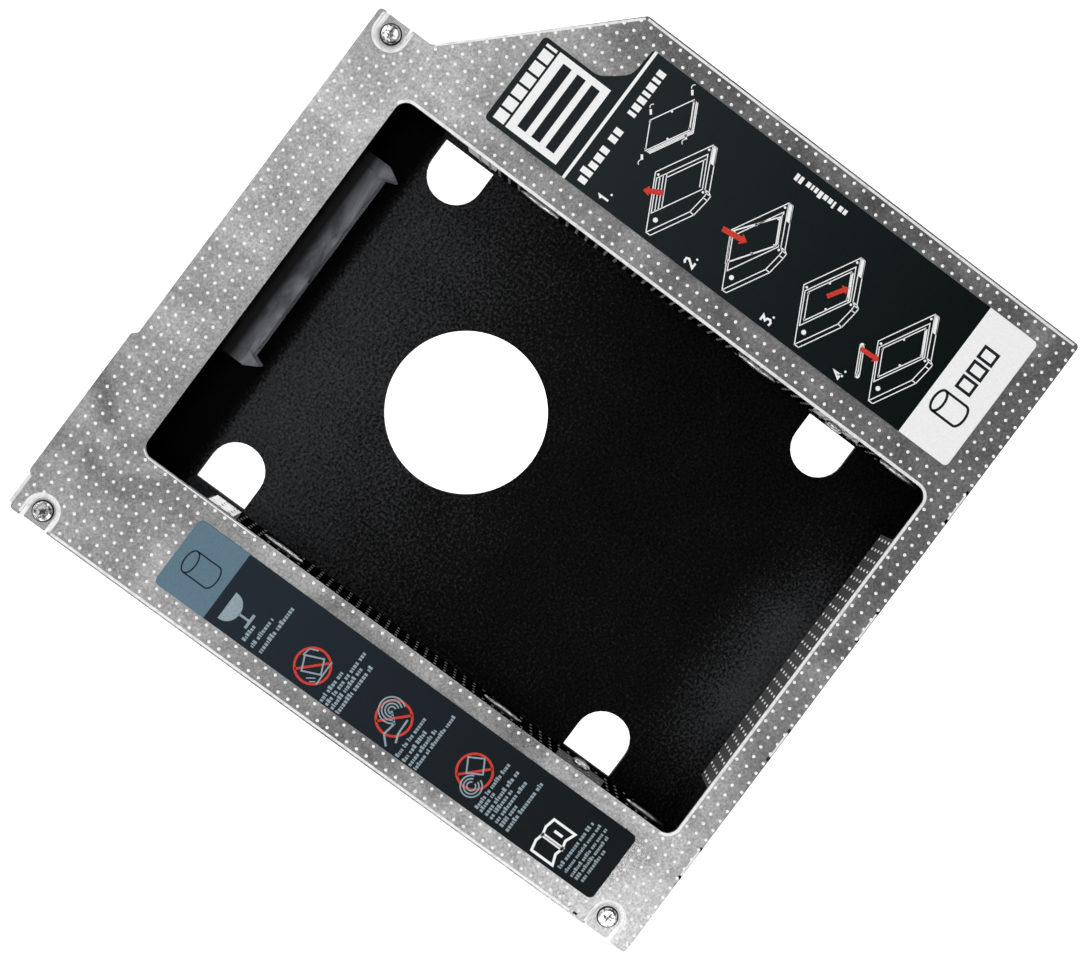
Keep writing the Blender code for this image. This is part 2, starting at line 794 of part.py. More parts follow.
def plug_contact(name, x, finish):
    """A strip along the tongue's upper face, led down to the board behind the plug."""
    back = PLUG_Y[0]
    pad = BOARD_Z[1] + SEAT
    strip = CONTACT_SHEET
    low = PLUG_TONGUE_Z[1] + SEAT
    corners = [
        (PLUG_TONGUE_END - 0.4, low, 0.0),
        (PLUG_TONGUE_END - 0.4, low + strip, 0.08),
        (back - 0.4, low + strip, 0.0),
        (back - 0.4, pad + strip, 0.0),
        (back - 1.2, pad + strip, 0.0),
        (back - 1.2, pad, 0.0),
        (back - 0.4 + strip, pad, 0.0),
        (back - 0.4 + strip, low, 0.0),
    ]
    half = CONTACT_WIDTH / 2
    return finish_part(side_profile(name, corners, (x - half, x + half)), finish)


def make_contacts(gold):
    for index, x in enumerate(contact_xs(SIGNAL_FIRST_X, SIGNAL_COUNT, SATA_PITCH)):
        receptacle_contact(f"receptacle_signal_contact_{index + 1}", x, gold)
    for index, x in enumerate(contact_xs(POWER_FIRST_X, POWER_COUNT, SATA_PITCH)):
        receptacle_contact(f"receptacle_power_contact_{index + 1:02d}", x, gold)
    for index, x in enumerate(contact_xs(PLUG_SIGNAL_FIRST_X, SIGNAL_COUNT, SATA_PITCH)):
        plug_contact(f"plug_signal_contact_{index + 1}", x, gold)
    power_xs = contact_xs(PLUG_POWER_FIRST_X, PLUG_POWER_COUNT, PLUG_POWER_PITCH)
    for index, x in enumerate(power_xs):
        plug_contact(f"plug_power_contact_{index + 1}", x, gold)


def make_chip(name, x, y, size, finish):
    """A small surface-mounted part with softened edges."""
    base = BOARD_Z[1] + SEAT
    length, width, height = size
    span_x = (x - length / 2, x + length / 2)
    span_y = (y - width / 2, y + width / 2)
    chip = box(name, span_x, span_y, (base, base + height))
    bevel = chip.modifiers.new("soften", "BEVEL")
    bevel.width = 0.12 * MM
    bevel.segments = 2
    bake(chip)
    return finish_part(chip, finish)


def make_components(ceramic, tantalum, resistor):
    finishes = {"tantalum": tantalum, "ceramic": ceramic, "chip": resistor}
    for name, (x, size) in COMPONENTS.items():
        make_chip(name, x, COMPONENT_Y, size, finishes[name.split("_")[0]])


# ---------------------------------------------------------------- labels


def make_left_label(finish):
    x0, x1, y0, y1 = LEFT_LABEL
    corners = [(x0, y0, 1.0), (x1, y0, 1.0), (x1, y1, 1.0), (x0, y1, 1.0)]
    low = CASE_HEIGHT + LABEL_SEAT
    return finish_part(plate("left_label", corners, (low, low + LABEL_SHEET)), finish)


def make_right_label(finish):
    """Full width below, with a hollow curve up to the narrow block at the top."""
    x0, x1, y0, y1 = RIGHT_LABEL
    step_x, curve_top, curve_foot = RIGHT_LABEL_STEP
    corners = [
        (x0, y0, 0.8),
        (x1, y0, 0.8),
        (x1, curve_foot, 0.5),
        (step_x + 3.4, curve_foot + 0.35, 3.6),
        (step_x, curve_top, 3.0),
        (step_x, y1, 0.8),
        (x0, y1, 0.8),
    ]
    low = CASE_HEIGHT + LABEL_SEAT
    return finish_part(plate("right_label", corners, (low, low + LABEL_SHEET)), finish)


# ---------------------------------------------------------------- assembly

clear_scene()
PARTS = new_collection("slim drive bay adapter")
CUTTERS = new_collection("cutters", hidden=True)
ROOT = bpy.data.objects.new(ROOT_NAME, None)
PARTS.objects.link(ROOT)

aluminium = material("satin aluminium", (0.55, 0.56, 0.57), 0.38, 1.0)
black_coat = material("black powder coat", (0.012, 0.012, 0.014), 0.6)
steel_plate = material("nickel-plated steel", (0.62, 0.62, 0.6), 0.25, 1.0)
board_mask = material("black solder mask", (0.01, 0.014, 0.012), 0.4)
dark_plastic = material("dark grey plastic", (0.03, 0.032, 0.036), 0.45)
gold_plate = material("gold plating", (0.85, 0.62, 0.25), 0.25, 1.0)
ceramic_body = material("tan ceramic", (0.35, 0.24, 0.14), 0.45)
tantalum_body = material("yellow moulding", (0.65, 0.42, 0.08), 0.5)
resistor_body = material("black resistor film", (0.02, 0.02, 0.02), 0.4)
navy_label = material("navy label", (0.013, 0.022, 0.03), 0.45)
black_label = material("black label", (0.012, 0.014, 0.014), 0.45)

make_top_housing(aluminium)
make_bottom_tray(black_coat)
make_fasteners(steel_plate)
make_board(board_mask)
make_receptacle(dark_plastic)
make_plug(dark_plastic)
make_contacts(gold_plate)
make_components(ceramic_body, tantalum_body, resistor_body)
make_left_label(navy_label)
make_right_label(black_label)
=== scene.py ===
"""Looks for the slim drive bay adapter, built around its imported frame.

Plan positions are in millimetres from the case's front left corner, as in the CAD: x to the right,
y to the rear, and z up from the top sheet.
"""

import math
import random

import bmesh
import bpy
from mathutils import Matrix, Vector


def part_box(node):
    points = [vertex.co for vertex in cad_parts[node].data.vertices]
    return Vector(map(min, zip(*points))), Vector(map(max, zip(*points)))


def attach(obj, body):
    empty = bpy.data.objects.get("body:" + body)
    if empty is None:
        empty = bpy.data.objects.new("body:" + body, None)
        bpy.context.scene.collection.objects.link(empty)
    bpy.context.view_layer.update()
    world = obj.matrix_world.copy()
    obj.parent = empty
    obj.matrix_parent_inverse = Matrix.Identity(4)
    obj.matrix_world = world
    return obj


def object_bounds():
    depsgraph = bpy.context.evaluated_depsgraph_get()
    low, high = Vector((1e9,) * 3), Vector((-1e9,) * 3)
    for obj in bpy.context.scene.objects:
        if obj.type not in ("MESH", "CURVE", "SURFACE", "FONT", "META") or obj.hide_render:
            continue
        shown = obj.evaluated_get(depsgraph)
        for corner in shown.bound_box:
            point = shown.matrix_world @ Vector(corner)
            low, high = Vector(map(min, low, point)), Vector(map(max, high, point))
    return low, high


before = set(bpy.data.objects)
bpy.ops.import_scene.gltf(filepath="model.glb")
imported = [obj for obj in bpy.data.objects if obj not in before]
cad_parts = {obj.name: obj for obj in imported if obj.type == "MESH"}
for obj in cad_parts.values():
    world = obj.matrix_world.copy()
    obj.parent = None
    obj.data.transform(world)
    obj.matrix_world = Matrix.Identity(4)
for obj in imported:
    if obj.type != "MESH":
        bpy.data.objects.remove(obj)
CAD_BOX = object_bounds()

MM = 0.001
BODY = "root"
HOUSING_LOW, HOUSING_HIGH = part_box("top_housing")

# Case and bay, as in the CAD: pairs are low and high ends
CASE_DEPTH = 126.94
CHAMFER = ((128.0, 90.9), (102.6, 116.6))
BAY_X = (20.37, 92.88)
BAY_Y = (5.55, 115.17)
BAY_CORNER = 2.2
SIDE_FLANGE_Y = (8.2, 101.9)
FRONT_FLANGE_X = (30.8, 83.1)
SPRING_Y = (10.4, 40.8, 87.0)
SPRING_HALF = 4.2
SPRING_Z = (-6.8, -3.4)

# Corner screws: x, y, and the side to which the recess round the head is open
CORNERS = (
    (2.6, 122.2, -1),
    (100.0, 123.0, 1),
    (3.2, 5.9, -1),
)
RECESS_HALF = 2.7
RECESS_REACH = 8.0
RECESS_DEPTH = 0.7
HEAD_RADIUS = 1.65

# Labels: x from and to, y from and to; the right one's corner is stepped back
LEFT_LABEL = (4.1, 17.2, 10.1, 100.6)
RIGHT_LABEL = (98.2, 124.0, 5.95, 102.55)
RIGHT_LABEL_STEP = (115.05, 86.9)
STEP_CURVE = (4.0, 3.2)
LABEL_TOP = (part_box("left_label")[1].z - HOUSING_HIGH.z) / MM
PRINT_SHEET = 0.02

# Raised dots in the sheet: their grid, their shape, and how clear of other features they stay
DOT_PITCH = 2.02
DOT_FIRST = (1.42, 0.5)
DOT_COUNT = 63
DOT_RADIUS = 0.32
DOT_HEIGHT = 0.09
DOT_SUNK = 0.06
DOT_SIDES = 8
DOT_PROFILE = ((1.0, -DOT_SUNK), (0.85, DOT_HEIGHT * 0.65), (0.45, DOT_HEIGHT))
WALL_DOT_ROWS = 4
LEFT_WALL_DOTS_Z = -1.45
RIGHT_WALL_DOTS_Z = -0.76
FRONT_WALL_DOTS_Z = -1.2
WALL_DOTS_LOWEST = -7.9
CLEAR_OF_BAY = 0.75
CLEAR_OF_FEATURE = DOT_RADIUS + 0.1
CLEAR_OF_CHAMFER = 0.45
CLEAR_OF_REAR_STEP = 0.8
CLEAR_OF_SPRING = 0.2
CLEAR_OF_SIDE_END = 0.6
CLEAR_OF_FRONT_END = 0.5

# Slots in the case's front edge, in pairs, with dark blocks of painted shade in them
TAB_FIRST = 18.85
TAB_PITCH = 25.0
TAB_COUNT = 4
RELIEF_OFFSET = 2.97
RELIEF_HALF = 0.37
RELIEF_Y = (0.0, 0.55)
RELIEF_Z = (-4.45, 0.0)

# Painted shadows at the corner screws
SCREW_GAP_OUT = 0.1
SCREW_GAP_WIDTH = 0.24
SCREW_GAP_SHEET = 0.03
CROSS_REACH = 0.97
CROSS_HALF = 0.15
CROSS_FLOOR = -0.48

# Painted highlights as bright rims: round the bay, along the outer edges, round a recess and along a tab
RIM_OUT = 0.3
RIM_WIDTH = 0.5
THIN_RIM_WIDTH = 0.2
THIN_RIM_LENGTH = 24
EDGE_WIDTH = 0.42
OUTER_EDGES = (
    ((127.5, 0.9), (127.5, 90.6)),
    ((127.35, 91.0), (102.85, 116.1)),
    ((0.5, 12.0), (0.5, 118.9)),
)
RECESS_RIM = 2.95
RECESS_RIM_WIDTH = 0.4
RECESS_MOUTH_X = {1: 102.2, -1: 0.5}
TAB_LINE_Y = 0.3
TAB_LINE_SHORTER = 0.5
TAB_LINE_WIDTH = 0.3

# Small painted highlights, as blocks on the sheet: x, y and z from and to
LIP_HIGHLIGHT = ((0.6, 6.2), (CASE_DEPTH - 0.05, CASE_DEPTH + 0.75), (-0.95, -0.6))
WALL_HIGHLIGHT = ((BAY_X[0] - 0.05, BAY_X[0] + 0.04), (96.6, 101.6), (-8.0, -0.9))

# Where painted light and shade and the labels' lighter rear change over the case, in millimetres: it fades
# in from the first place to the second
BAY_WALLS_X = ((17.0, 18.0), (96.0, 95.0))
BAY_WALLS_Y = ((6.5, 7.5), (118.0, 117.0))
SHADED_FLANGE_X = ((30.0, 30.6), (84.0, 83.4))
SHADED_FLANGE_Y = ((4.6, 5.2), (6.8, 6.2))
BEND_Z = (-1.3, -1.0)
COAT_PAINTED_LIGHT_REAR_Y = (52, 104)
COAT_PAINTED_LIGHT_LEFT_X = (85, 25)
COAT_PAINTED_LIGHT_FRONT_Y = (22, 9)
COAT_PAINTED_LIGHT_FRONT_X = ((23, 44), (86, 62))
COAT_SHADOW_Y = (106.5, 109.5)
PLASTIC_PAINTED_LIGHT_Y = (113.5, 111.0)
FILM_LIGHTER_Y = (15, 85)

# Most values of a noise lie between these two
NOISE_SPAN = (0.3, 0.7)

# Light: radiance of the tent round the sides and overhead, and how steeply up (0 to 1) it starts and
# stops dimming
TENT_SIDES = 1.3
TENT_TOP = 0.18
TENT_DIMS = (0.4, 0.85)

# Panels in the tent: name, x, y and height in case millimetres, size in metres, radiance
PANELS = (
    ("left_panel", -190, 165, 600, (0.2, 0.5), 0.55),
    ("rear_panel", 122, 230, 500, (0.3, 0.15), 1.2),
    ("corner_panel", -158, -142, 500, (0.1, 0.1), 5.5),
    ("front_panel", 112, -160, 500, (0.22, 0.1), 0.2),
    ("left_side_panel", -800, 100, 500, (0.6, 0.5), 2.0),
    ("rear_side_panel", 100, 900, 500, (0.6, 0.5), 2.0),
)
PANELS_FACE = (64, 64, 0)

# Stage: the floor's size in metres, and how far below the case it lies in millimetres
FLOOR_REACH = 4.0
FLOOR_BELOW = 0.05

# Camera, nearly straight above: place and target in case millimetres, turn in degrees
CAMERA_PLACE = (67.85, 73.24, 233.2)
CAMERA_TARGET = (66.02, 62.41, 0.0)
CAMERA_TURN = 36.76
CAMERA_LENS = 46.59
CAMERA_SENSOR = 36.0
CAMERA_SHIFT = (-0.0187, -0.0538)
CAMERA_CLIP = 0.01


def at(x, y, z=0.0):
    """Case millimetres to the frame's metres."""
    return Vector((HOUSING_LOW.x + x * MM, HOUSING_LOW.y + y * MM, HOUSING_HIGH.z + z * MM))


# ---------------------------------------------------------------- materials


def grey(value):
    return (value, value, value)


class Look:
    """A Principled material whose patterns are sized in millimetres."""

    def __init__(self, name, colour, roughness, metallic=0.0, specular=0.5):
        self.material = bpy.data.materials.new(name)
        self.material.use_nodes = True
        self.tree = self.material.node_tree
        self.shader = self.tree.nodes["Principled BSDF"]
        for socket, value in (
            ("Base Color", (*colour, 1.0)),
            ("Roughness", roughness),
            ("Metallic", metallic),
            ("Specular IOR Level", specular),
        ):
            self.shader.inputs[socket].default_value = value
        self.place = self.node("ShaderNodeTexCoord").outputs["Object"]

    def node(self, kind, **settings):
        made = self.tree.nodes.new(kind)
        for key, value in settings.items():
            setattr(made, key, value)
        return made

    def link(self, out, target):
        self.tree.links.new(out, target)

    def feed(self, socket, out):
        """Lets a pattern set one of the shader's sockets."""
        self.link(out, self.shader.inputs[socket])

    def noise(self, size, detail=2.0, roughness=0.5, stretch=(1, 1, 1), distortion=0.0):
        """Noise whose features are about size millimetres wide."""
        mapping = self.node("ShaderNodeMapping")
        mapping.inputs["Scale"].default_value = [1 / (size * MM * factor) for factor in stretch]
        self.link(self.place, mapping.inputs["Vector"])
        texture = self.node("ShaderNodeTexNoise")
        for socket, value in (
            ("Scale", 1.0),
            ("Detail", detail),
            ("Roughness", roughness),
            ("Distortion", distortion),
        ):
            texture.inputs[socket].default_value = value
        self.link(mapping.outputs["Vector"], texture.inputs["Vector"])
        return texture.outputs["Fac"]

    def split(self, vector):
        """A vector's x, y and z."""
        made = self.node("ShaderNodeSeparateXYZ")
        self.link(vector, made.inputs["Vector"])
        return made.outputs["X"], made.outputs["Y"], made.outputs["Z"]

    def spread(self, out, low, high, new_low=0.0, new_high=1.0):
        """Maps low..high to new_low..new_high, held at both ends."""
        made = self.node("ShaderNodeMapRange")
        for socket, value in (
            ("From Min", low),
            ("From Max", high),
            ("To Min", new_low),
            ("To Max", new_high),
        ):
            made.inputs[socket].default_value = value
        self.link(out, made.inputs["Value"])
        return made.outputs["Result"]

    def across(self, start, end, new_low=0.0, new_high=1.0):
        """A ramp over the case's x, between two places in millimetres."""
        return self.spread(self.split(self.place)[0], at(start, 0).x, at(end, 0).x, new_low, new_high)

    def along(self, start, end, new_low=0.0, new_high=1.0):
        """The same over the case's y."""
        return self.spread(self.split(self.place)[1], at(0, start).y, at(0, end).y, new_low, new_high)

    def upward(self, start, end):
        """The same over the height above the top sheet."""
        return self.spread(self.split(self.place)[2], at(0, 0, start).z, at(0, 0, end).z)

    def calculate(self, operation, outs):
        """Two or more outputs put together by one operation, from the first to the last."""
        result = outs[0]
        for out in outs[1:]:
            made = self.node("ShaderNodeMath", operation=operation)
            self.link(result, made.inputs[0])
            self.link(out, made.inputs[1])
            result = made.outputs["Value"]
        return result

    def plus(self, *outs):
        return self.calculate("ADD", outs)

    def minus(self, *outs):
        return self.calculate("SUBTRACT", outs)

    def times(self, *outs):
        return self.calculate("MULTIPLY", outs)

    def within(self, factor, x_fades, y_fades):
        """The factor, kept only where all of the fades have come in."""
        fades = [self.along(*fade) for fade in y_fades] + [self.across(*fade) for fade in x_fades]
        return self.times(factor, *fades)

    def colours(self, factor, *stops):
        """A colour ramp from (position, colour) stops."""
        made = self.node("ShaderNodeValToRGB")
        ramp = made.color_ramp
        while len(ramp.elements) < len(stops):
            ramp.elements.new(0.5)
        for element, (position, colour) in zip(ramp.elements, stops):
            element.position = position
            element.color = (*colour, 1.0)
        self.link(factor, made.inputs["Fac"])
        return made.outputs["Color"]

    def greys(self, factor, *stops):
        """A colour ramp from (position, brightness) stops."""
        return self.colours(factor, *((position, grey(value)) for position, value in stops))

    def blend(self, factor, first, second):
        made = self.node("ShaderNodeMix", data_type="RGBA")
        self.link(factor, made.inputs["Factor"])
        self.link(first, made.inputs["A"])
        self.link(second, made.inputs["B"])
        return made.outputs["Result"]

    def bump(self, height, strength, depth):
        """Bump whose full height is depth millimetres."""
        made = self.node("ShaderNodeBump")
        made.inputs["Strength"].default_value = strength
        made.inputs["Distance"].default_value = depth * MM
        self.link(height, made.inputs["Height"])
        self.feed("Normal", made.outputs["Normal"])


def sheet_zones(look):
    """Where the cover's sheet is bent, upright, a wall of the bay, or its front flange, each from 0 to 1;
    these carry its painted highlight and painted shade.
    """
    normal = look.node("ShaderNodeNewGeometry").outputs["Normal"]
    upright = look.split(normal)[2]
    bend = look.times(
        look.spread(upright, 0.99, 0.93),
        look.spread(upright, 0.15, 0.4),
        look.upward(*BEND_Z),
    )
    side = look.spread(upright, 0.4, 0.1)
    wall = look.within(side, BAY_WALLS_X, BAY_WALLS_Y)
    flange = look.within(side, SHADED_FLANGE_X, SHADED_FLANGE_Y)
    return bend, side, wall, flange


def satin_aluminium():
    """Rolled sheet with soft clouds and a fine sparkle.

    It is pale at bends, a painted highlight, and a little darker on the skirts, dark and glossy on the bay's
    walls, and darker and dull on the front flange, all three painted shade.
    """
    look = Look("satin_aluminium", grey(0.5), 0.3, 1.0)
    clouds = look.noise(15, 3.0, 0.5, (1, 1, 1), 0.8)
    streaks = look.noise(2.2, 3.0, 0.6, (1, 4, 1))
    grain = look.noise(0.42, 3.0, 0.75)
    tone = look.plus(
        look.spread(clouds, 0.34, 0.66, 0.0, 0.4),
        look.spread(streaks, 0.25, 0.75, 0.0, 0.12),
        look.spread(grain, 0.32, 0.68, 0.0, 0.48),
    )
    bend, side, wall, flange = sheet_zones(look)
    shade = look.greys(tone, (0.1, 0.2), (0.5, 0.44), (0.95, 0.82))
    # Painted highlight at the bends; painted shade on the skirts, the bay's walls and the front flange
    for zone, finish in (
        (bend, look.greys(look.noise(1.3, 3.0, 0.6), (0.25, 0.7), (0.5, 0.98))),
        (side, look.greys(tone, (0.1, 0.14), (0.5, 0.24), (0.95, 0.4))),
        (wall, look.greys(grain, (0.3, 0.1), (0.7, 0.16))),
        (flange, look.greys(grain, (0.3, 0.08), (0.7, 0.14))),
    ):
        shade = look.blend(zone, shade, finish)
    look.feed("Base Color", shade)
    # The walls' dimmer reflections are painted shade
    look.feed("Specular Tint", look.greys(wall, (0.0, 1.0), (1.0, 0.25)))
    look.feed("Metallic", look.spread(look.plus(bend, flange), 0.0, 1.0, 1.0, 0.2))
    satin = look.spread(clouds, *NOISE_SPAN, 0.18, 0.28)
    look.feed("Roughness", look.spread(look.minus(satin, wall), 0.0, 1.0, 0.1, 1.0))
    smoother_walls = look.spread(wall, 0.0, 1.0, 1.0, 0.05)
    look.bump(look.times(look.plus(grain, streaks), smoother_walls), 0.3, 0.03)
    return look.material


def painted_highlight():
    """Pale sheet for painted highlights, as on rims."""
    look = Look("painted_highlight", grey(0.9), 0.5, 0.25)
    mottle = look.noise(1.3, 3.0, 0.6)
    look.feed("Base Color", look.greys(mottle, (0.25, 0.68), (0.55, 0.98)))
    look.feed("Roughness", look.spread(mottle, *NOISE_SPAN, 0.6, 0.4))
    look.bump(mottle, 0.1, 0.01)
    return look.material


def dot_painted_light(name, low, high, specular):
    """The dots' colour, a painted highlight where it is lighter than the sheet around them and painted shade
    where darker.
    """
    look = Look(name, grey(high), 0.35, specular=specular)
    look.feed("Base Color", look.greys(look.noise(0.8, 1.0), (0.2, low), (0.6, high)))
    look.bump(look.noise(0.12, 1.0), 0.2, 0.01)
    return look.material


def black_coat():
    """Fine-grained powder coat, with painted light making it paler at the rear left and the front's middle,
    and a painted shadow making it dark behind the bay.
    """
    look = Look("black_coat", grey(0.01), 0.45, specular=0.04)
    grain = look.noise(0.5, 2.0, 0.7)
    from_left, from_right = COAT_PAINTED_LIGHT_FRONT_X
    middle = look.times(look.across(*from_left), look.across(*from_right))
    # Painted light at the rear, left and front middle; painted shadow behind the bay
    tone = look.plus(
        look.along(*COAT_PAINTED_LIGHT_REAR_Y, 0.0, 0.46),
        look.across(*COAT_PAINTED_LIGHT_LEFT_X, 0.0, 0.12),
        look.times(look.along(*COAT_PAINTED_LIGHT_FRONT_Y, 0.0, 0.5), middle),
        look.spread(look.noise(9, 2.0), *NOISE_SPAN, -0.04, 0.04),
        look.spread(grain, *NOISE_SPAN, -0.05, 0.55),
        look.along(*COAT_SHADOW_Y, 0.0, -1.0),
    )
    coat = look.colours(tone, (0.1, grey(0.0002)), (0.5, grey(0.005)), (1.0, (0.048, 0.05, 0.055)))
    look.feed("Base Color", coat)
    look.feed("Roughness", look.spread(grain, *NOISE_SPAN, 0.6, 0.42))
    look.bump(grain, 0.8, 0.08)
    return look.material


def dark_plastic():
    """Black moulding, with painted light making it paler towards the drive."""
    look = Look("dark_grey_plastic", (0.03, 0.031, 0.034), 0.4, specular=0.12)
    flow = look.noise(3.2, 4.0, 0.6, (2.5, 1, 1), 0.6)
    plain = look.greys(flow, (0.3, 0.001), (0.7, 0.006))
    lit_front = look.colours(flow, (0.32, (0.045, 0.048, 0.054)), (0.66, (0.21, 0.22, 0.24)))
    # Painted light: the moulding's front, towards the drive, is paler
    look.feed("Base Color", look.blend(look.along(*PLASTIC_PAINTED_LIGHT_Y), plain, lit_front))
    look.feed("Roughness", look.spread(flow, *NOISE_SPAN, 0.34, 0.5))
    look.bump(look.noise(0.25, 2.0), 0.2, 0.02)
    return look.material


def plated(name, light, dark, roughness, size):
    """Bright plating with fine scuffs and dark hollows."""
    look = Look(name, light, roughness, 1.0)
    scuffs = look.noise(size, 3.0, 0.6)
    look.feed("Base Color", look.colours(scuffs, (0.42, dark), (0.55, light)))
    look.feed("Roughness", look.spread(scuffs, *NOISE_SPAN, roughness * 0.7, roughness * 1.6))
    look.bump(scuffs, 0.4, 0.12)
    return look.material


def speckled(name, dark, light, roughness, size, specular=0.3):
    """Moulded, coated or printed surfaces with a fine uneven tone."""
    look = Look(name, light, roughness, specular=specular)
    grain = look.noise(size, 3.0, 0.6)
    look.feed("Base Color", look.colours(grain, (0.3, dark), (0.7, light)))
    look.feed("Roughness", look.spread(grain, *NOISE_SPAN, roughness * 0.85, roughness * 1.15))
    look.bump(grain, 0.15, 0.01)
    return look.material


def printed_film(name, front, rear):
    """Printed film, a little lighter towards the rear."""
    look = Look(name, front, 0.4, specular=0.12)
    fade = look.along(*FILM_LIGHTER_Y)
    grain = look.spread(look.noise(0.3, 2.0, 0.6), *NOISE_SPAN, -0.12, 0.12)
    look.feed("Base Color", look.colours(look.plus(fade, grain), (0.0, front), (1.0, rear)))
    look.bump(look.noise(0.5, 2.0), 0.1, 0.01)
    return look.material


def dress(look, *names):
    """Gives CAD nodes their finish; a name may end in * for all that start with it."""
    for name in names:
        for node_name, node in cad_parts.items():
            if node_name == name or (name.endswith("*") and node_name.startswith(name[:-1])):
                for slot in node.material_slots:
                    slot.material = look


# ---------------------------------------------------------------- mesh helpers


def add_piece(name, bm, look):
    """Turns a bmesh into a piece that rides on the adapter."""
    bmesh.ops.recalc_face_normals(bm, faces=bm.faces)
    mesh = bpy.data.meshes.new(name)
    bm.to_mesh(mesh)
    bm.free()
    piece = bpy.data.objects.new(name, mesh)
    bpy.context.scene.collection.objects.link(piece)
    mesh.materials.append(look)
    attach(piece, BODY)
    return piece


def add_block(bm, xs, ys, zs):
    """A plain block between two values on each axis."""
    corners = [[[bm.verts.new(at(x, y, z)) for z in zs] for y in ys] for x in xs]
    (a, b), (c, d) = corners
    for face in (
        (a[0], a[1], b[1], b[0]),
        (c[0], d[0], d[1], c[1]),
        (a[0], c[0], c[1], a[1]),
        (b[0], b[1], d[1], d[0]),
        (a[0], b[0], d[0], c[0]),
        (a[1], c[1], d[1], b[1]),
    ):
        bm.faces.new(face)


def arc(x, y, radius_x, radius_y, start=0, end=360, steps=24):
    """Points on an ellipse from one angle to another; a full turn leaves out the repeated point."""
    count = steps if abs(end - start) == 360 else steps + 1
    points = []
    for step in range(count):
        angle = math.radians(start + (end - start) * step / steps)
        points.append((x + radius_x * math.cos(angle), y + radius_y * math.sin(angle)))
    return points


def turned_about(points, x, y, degrees):
    """Plan points, turned anticlockwise about a place."""
    turn = Matrix.Rotation(math.radians(degrees), 2)
    centre = Vector((x, y))
    return [tuple(turn @ (Vector(point) - centre) + centre) for point in points]


def stroke_sides(points, half, closed):
    """The left and right side of a mitred stroke at each of its points; sharp corners are kept short."""
    sharpest = 0.4
    sides = []
    count = len(points)
    for index, point in enumerate(points):
        here = Vector(point)
        before = here - Vector(points[index - 1]) if closed or index > 0 else None
        after = Vector(points[(index + 1) % count]) - here if closed or index < count - 1 else None
        into = (before or after).normalized()
        away = (after or before).normalized()
        normal = Vector((-into.y - away.y, into.x + away.x)).normalized()
        reach = half / max(sharpest, normal.dot(Vector((-into.y, into.x))))
        sides.append((here + normal * reach, here - normal * reach))
    return sides


class FlatMarks:
    """Flat shapes, both print and painted highlights and shadows, gathered into one mesh of thin closed
    plates, on a plane z above the sheet.
    """

    def __init__(self, z=LABEL_TOP, thickness=PRINT_SHEET):
        self.bm = bmesh.new()
        self.low = z
        self.high = z + thickness

    def point(self, x, y, z):
        return self.bm.verts.new(at(x, y, z))

    def area(self, points):
        """A filled outline."""
        low = [self.point(x, y, self.low) for x, y in points]
        high = [self.point(x, y, self.high) for x, y in points]
        self.bm.faces.new(high)
        self.bm.faces.new(low[::-1])
        for index in range(len(points)):
            after = (index + 1) % len(points)
            self.bm.faces.new((low[index], low[after], high[after], high[index]))

    def bar(self, x0, x1, y0, y1):
        """A filled rectangle."""
        self.area([(x0, y0), (x1, y0), (x1, y1), (x0, y1)])

    def line(self, points, width, closed=False):
        """A stroke of even width."""
        rows = []
        for left, right in stroke_sides(points, width / 2, closed):
            rows.append(
                [
                    self.point(left.x, left.y, self.low),
                    self.point(left.x, left.y, self.high),
                    self.point(right.x, right.y, self.high),
                    self.point(right.x, right.y, self.low),
                ]
            )
        for index in range(len(rows) if closed else len(rows) - 1):
            here, after = rows[index], rows[(index + 1) % len(rows)]
            for side in range(4):
                other = (side + 1) % 4
                self.bm.faces.new((here[side], here[other], after[other], after[side]))
        if not closed:
            self.bm.faces.new(rows[0])
            self.bm.faces.new(rows[-1][::-1])

    def disc(self, x, y, radius, steps=14):
        """A filled circle."""
        self.area(arc(x, y, radius, radius, steps=steps))

    def make(self, name, look):
        return add_piece(name, self.bm, look)


# ---------------------------------------------------------------- raised dots


def dome(bm, foot, out):
    """One low raised dot on a face that looks along out."""
    side = out.orthogonal().normalized()
    other = out.cross(side)
    rings = []
    for reach, rise in DOT_PROFILE:
        ring = []
        for index in range(DOT_SIDES):
            angle = 2 * math.pi * index / DOT_SIDES
            arm = (side * math.cos(angle) + other * math.sin(angle)) * DOT_RADIUS * reach
            ring.append(bm.verts.new(foot + (arm + out * rise) * MM))
        rings.append(ring)
    bm.faces.new(rings[0][::-1])
    bm.faces.new(rings[-1])
    for lower, upper in zip(rings, rings[1:]):
        for index in range(DOT_SIDES):
            after = (index + 1) % DOT_SIDES
            face = bm.faces.new((lower[index], lower[after], upper[after], upper[index]))
            face.smooth = True


def behind_chamfer(x, y, margin):
    """Whether a place is past the slanted edge, or within margin of it."""
    start, end = (Vector(p) for p in CHAMFER)
    along = (end - start).normalized()
    outward = Vector((along.y, -along.x))
    return (Vector((x, y)) - start).dot(outward) > -margin


def in_recess(x, y, margin):
    """Whether a place is in a corner screw's recess, or within margin of it."""
    for centre_x, centre_y, side in CORNERS:
        across = y - centre_y
        out = (x - centre_x) * side
        distance = abs(across) if out > 0 else math.hypot(across, out)
        if distance < RECESS_HALF + margin and out < RECESS_REACH:
            return True
    return False


def in_box(x, y, box, margin):
    x0, x1, y0, y1 = box
    return x0 - margin < x < x1 + margin and y0 - margin < y < y1 + margin


